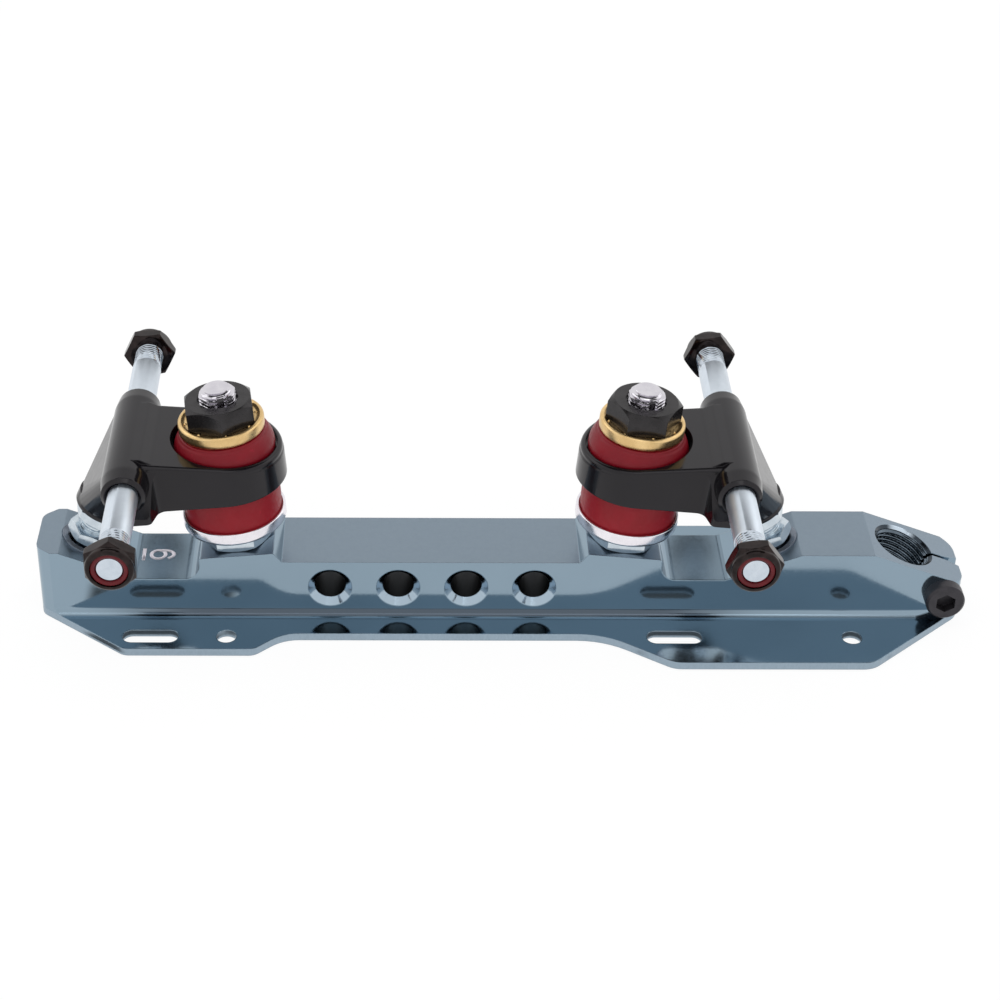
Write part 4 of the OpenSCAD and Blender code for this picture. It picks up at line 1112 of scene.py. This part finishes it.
# %% [markdown]
# ## Pivot pins
# A pivot pin is one turned piece: a ball that rocks in the plate's cup, a neck, a hexagon for the
# spanner and a threaded shank, which a thin jam nut locks against the hanger's nose. Separate
# meshes could be set end to end, but one profile leaves no hidden faces between them.

# %% Make the pivot pins and their jam nuts
BALL_X, BALL_Z, PIN_LEAN = 97.0845, 12.4153, math.radians(25)
BALL_R, NECK_R, HEX_AF, HEX_FROM, HEX_TO, HEX_CONE = 4.75, 3.7, 11.4, 9.3, 12.7, 5.5
SHANK_R, SHANK_TO, SHANK_PITCH, SHANK_ROOT = 4.0, 28.2, 1.0, 3.5
LOCK_AF, LOCK_FROM, LOCK_TO, LOCK_SPIN, LOCK_CONE = 12.2, 16.1, 19.28, 18.0, 5.9
RINGS_FROM, RINGS_TO, THREADED_RINGS, PLAIN_RINGS = HEX_TO + 0.1, LOCK_FROM + 0.6, 46, 6
PIVOT_THREAD_FROM, PIVOT_THREAD_TO, ABOVE_HEX = HEX_TO + 0.4, LOCK_FROM + 0.5, HEX_TO + 0.05
neck_angle = math.asin(NECK_R / BALL_R)
ball = [(-BALL_R * math.cos(a), BALL_R * math.sin(a)) for a in np.linspace(0, np.pi - neck_angle, 30)]
pin_rows = runs((RINGS_FROM, RINGS_TO, THREADED_RINGS), (RINGS_TO, SHANK_TO, PLAIN_RINGS))
pivot_profile = ball + [(HEX_FROM, NECK_R), (HEX_FROM, HEX_CONE), (HEX_FROM, WIDE), (HEX_TO, WIDE),
                        (HEX_TO, HEX_CONE), (HEX_TO, SHANK_R)]
pivot_profile += [(h, SHANK_R) for h in pin_rows] + [(SHANK_TO, SHANK_R), (SHANK_TO, 0)]
pivot_hex = hexagon(HEX_AF, HEX_FROM, HEX_TO, (HEX_CONE, BEVEL_RISE), (HEX_CONE, BEVEL_RISE))
pivot_thread = thread(SHANK_PITCH, SHANK_ROOT, SHANK_R, PIVOT_THREAD_FROM, PIVOT_THREAD_TO)
lock_bore = SHANK_R + SNUG
lock_nut_rows = nut_profile(LOCK_FROM, LOCK_TO, LOCK_CONE, lock_bore, [(LOCK_TO, lock_bore)])


def pivot_shape(angle, height, radius):
    """The hexagon, then the thread above it."""
    height, radius = pivot_hex(angle, height, radius)
    _, threaded = pivot_thread(angle, height, radius)
    return height, np.where(height > ABOVE_HEX, threaded, radius)


for end, side in ENDS:
    axes = shaft_axes((side * BALL_X, 0, BALL_Z),
                      (-side * math.sin(PIN_LEAN), 0, math.cos(PIN_LEAN)))
    pin = turned_piece(f"{end}_pivot_stud", axes, pivot_profile, zinc_finish, "zinc_steel",
                       f"{end}_truck", shape=pivot_shape)
    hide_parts(f"{end}_pivot_pin")
    lock_hex = hexagon(LOCK_AF, LOCK_FROM, LOCK_TO, (LOCK_CONE, BEVEL_RISE),
                       (LOCK_CONE, BEVEL_RISE), math.radians(side * LOCK_SPIN))
    nut = turned_piece(f"{end}_pivot_lock_nut", axes, lock_nut_rows, zinc_finish, "zinc_steel",
                       f"{end}_truck", shape=lock_hex)
    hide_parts(f"{end}_pivot_jam_nut")
print("pivot pins:", len(pivot_profile), "rings each")

# %% [markdown]
# ## The toe stop's thread
# The bore at the toe is threaded from its chamfer to the sole face, and the clamp slit cuts it
# open. A Boolean could cut the thread into the plate, at the cost of many loose triangles there. So
# the thread is a shell inside the bore: a grid over the angle, which leaves out the slit, and over
# the depth, whose lower end follows the sole face because the bore is tilted.

# %% Make the toe stop's thread
BORE_WALL, THREAD_IN, TOE_PITCH, BORE_SKIN = 7.95, 7.3, 1.41, 8.02
TOE_RIDGE_TOP, TOE_RIDGE_SLOPE, TOE_FADE, WALL_GAP = 1.6, 3.2, 25, 0.03
ROUND_STEPS, DEPTH_STEPS = 121, 171
SLIT_HALF, SLIT_CLEAR, BORE_EDGE, SOLE_GAP = 0.66, 0.005, 0.8, 0.05
axes = shaft_axes((BORE_X, 0, BORE_Z), bore_axis)
slit_angle = math.asin(SLIT_HALF / THREAD_IN) + SLIT_CLEAR
angle, share = np.meshgrid(np.linspace(slit_angle, 2 * np.pi - slit_angle, ROUND_STEPS),
                           np.linspace(0, 1, DEPTH_STEPS))
sole_height = SOLE_GAP - BORE_Z + BORE_WALL * np.cos(angle) * math.sin(BORE_TILT)
sole_height = sole_height / math.cos(BORE_TILT)
height = -BORE_EDGE + share * (sole_height + BORE_EDGE)
ridge = ridge_of(angle, height, TOE_PITCH, TOE_RIDGE_TOP, TOE_RIDGE_SLOPE)
fade = np.clip(np.minimum(share, 1 - share) * TOE_FADE, 0, 1)
inside = BORE_WALL - WALL_GAP - (BORE_WALL - THREAD_IN) * ridge * fade
front = turned_points(axes, inside, angle, height)
back = turned_points(axes, np.full_like(inside, BORE_SKIN), angle, height)
rows, columns = inside.shape
count = rows * columns
skin = grid_faces(rows, columns, False)
row_line, column_line = np.arange(rows), np.arange(columns)


def seam(line):
    """Quads that join an edge of the front grid to the same edge of the back grid."""
    return np.stack([line[:-1], line[1:], line[1:] + count, line[:-1] + count], axis=-1)


edges = [seam(column_line), seam((rows - 1) * columns + column_line), seam(row_line * columns),
         seam(row_line * columns + columns - 1)]
faces = np.concatenate([skin, skin + count, *edges])
shell = np.concatenate([front.reshape(-1, 3), back.reshape(-1, 3)])
piece("toe_stop_thread", shell, faces, thread_painted_shade_finish, "plate", smooth=50)
print("toe stop thread:", count, "points")

# %% [markdown]
# ## Stamped pips in the brass cups
# The floor of each brass cup has a ring of small stamped pips round the nut. A bump in the material
# could hint at them, but a bump is flat when seen from the side. Each is a low dome: its height
# falls as the square of the distance from its middle.

# %% Make the pips
PIP_COUNT, PIP_RING, PIP_R, PIP_H = 8, 9.4, 0.45, 0.35
PIP_TURN, PIP_FOOT = 0.2, 0.05
LINES, SPOKES = 6, 16
out = np.linspace(0, 1, LINES)[None, :, None]
turn = (np.arange(SPOKES) * 2 * np.pi / SPOKES)[None, None, :]
middle = (np.arange(PIP_COUNT) * 2 * np.pi / PIP_COUNT + PIP_TURN)[:, None, None]
a = PIP_RING * np.cos(middle) + PIP_R * out * np.cos(turn)
b = PIP_RING * np.sin(middle) + PIP_R * out * np.sin(turn)
dome = BRASS_FLOOR - PIP_FOOT + (PIP_H + PIP_FOOT) * (1 - out ** 2)
h = np.broadcast_to(dome, a.shape)
one = grid_faces(LINES, SPOKES, True).tolist()
one.append(((LINES - 1) * SPOKES + np.arange(SPOKES)).tolist())
faces = [[v + k * LINES * SPOKES for v in face] for k in range(PIP_COUNT) for face in one]
for end, side in ENDS:
    place, first, second, along = kingpin_axes(side)
    points = place + MM * (a[..., None] * first + b[..., None] * second + h[..., None] * along)
    piece(f"{end}_cup_pips", points, faces, brass_finish, "plate", smooth=60)
print("pips:", PIP_COUNT, "in each cup,", len(faces), "faces")

# %% [markdown]
# ## The size mark
# The rear pocket carries the plate's size: a plain numeral with a bar under it, so that it isn't
# read upside down. It is etched through the colour down to pale metal. A text object would bring a
# font's own forms, so each stroke is a flat ribbon along a curve, and the ribbon's edges lie half a
# stroke to each side of it.

# %% Make the size mark
etched_finish = finish("etched_pale_metal", (0.90, 0.86, 0.92), (0.82, 0.78, 0.85), (0.40, 0.50),
                       metallic=1.0, patch=500, grain=1500, lift=0.002)
POCKET_FLOOR, MARK_LIFT, STROKE_STEP, STROKE = 13.9, 0.02, 0.004, 1.0
MARK_FOOT_X, MARK_MIDDLE_Y, ETCH_DEPTH = -76.85, 0.6, 0.03 * MM


def ribbon(points, closed):
    """Left and right edges of a stroke: the curve plus and minus half a stroke along its normal."""
    ahead = np.roll(points, -1, 0) - np.roll(points, 1, 0)
    if not closed:
        ahead[0], ahead[-1] = points[1] - points[0], points[-1] - points[-2]
    ahead /= np.linalg.norm(ahead, axis=1)[:, None]
    normal = np.stack([-ahead[:, 1], ahead[:, 0]], axis=1) * STROKE / 2
    return np.stack([points + normal, points - normal])


def arc(centre, radii, start, end, steps=40):
    """Points of an ellipse's arc, from start to end degrees."""
    turn = np.radians(np.linspace(start, end, steps))
    return np.stack([centre[0] + radii[0] * np.cos(turn), centre[1] + radii[1] * np.sin(turn)], axis=1)


strokes = [arc((0, 1.95), (1.97, 1.95), 0, 351, 40), arc((0, 3.3), (1.97, 2.9), 205, 28, 30),
           np.array([[-2.75, -2.0], [2.75, -2.0]])]
all_points, all_faces, base = [], [], 0
for k, stroke in enumerate(strokes):
    closed = k == 0
    rims = ribbon(stroke, closed)
    right, up = rims[..., 0], rims[..., 1]
    flat = np.stack([MARK_FOOT_X + up, MARK_MIDDLE_Y - right,
                     np.full_like(up, POCKET_FLOOR + MARK_LIFT + STROKE_STEP * k)], axis=-1) * MM
    rows, columns = flat.shape[:2]
    all_points.append(flat.reshape(-1, 3))
    all_faces.append(grid_faces(rows, columns, closed) + base)
    base += rows * columns
mark = piece("size_mark", np.concatenate(all_points), np.concatenate(all_faces), etched_finish,
             "plate")
thick = mark.modifiers.new("etching", "SOLIDIFY")
thick.thickness, thick.offset = ETCH_DEPTH, 0.0
print("size mark:", len(strokes), "strokes")
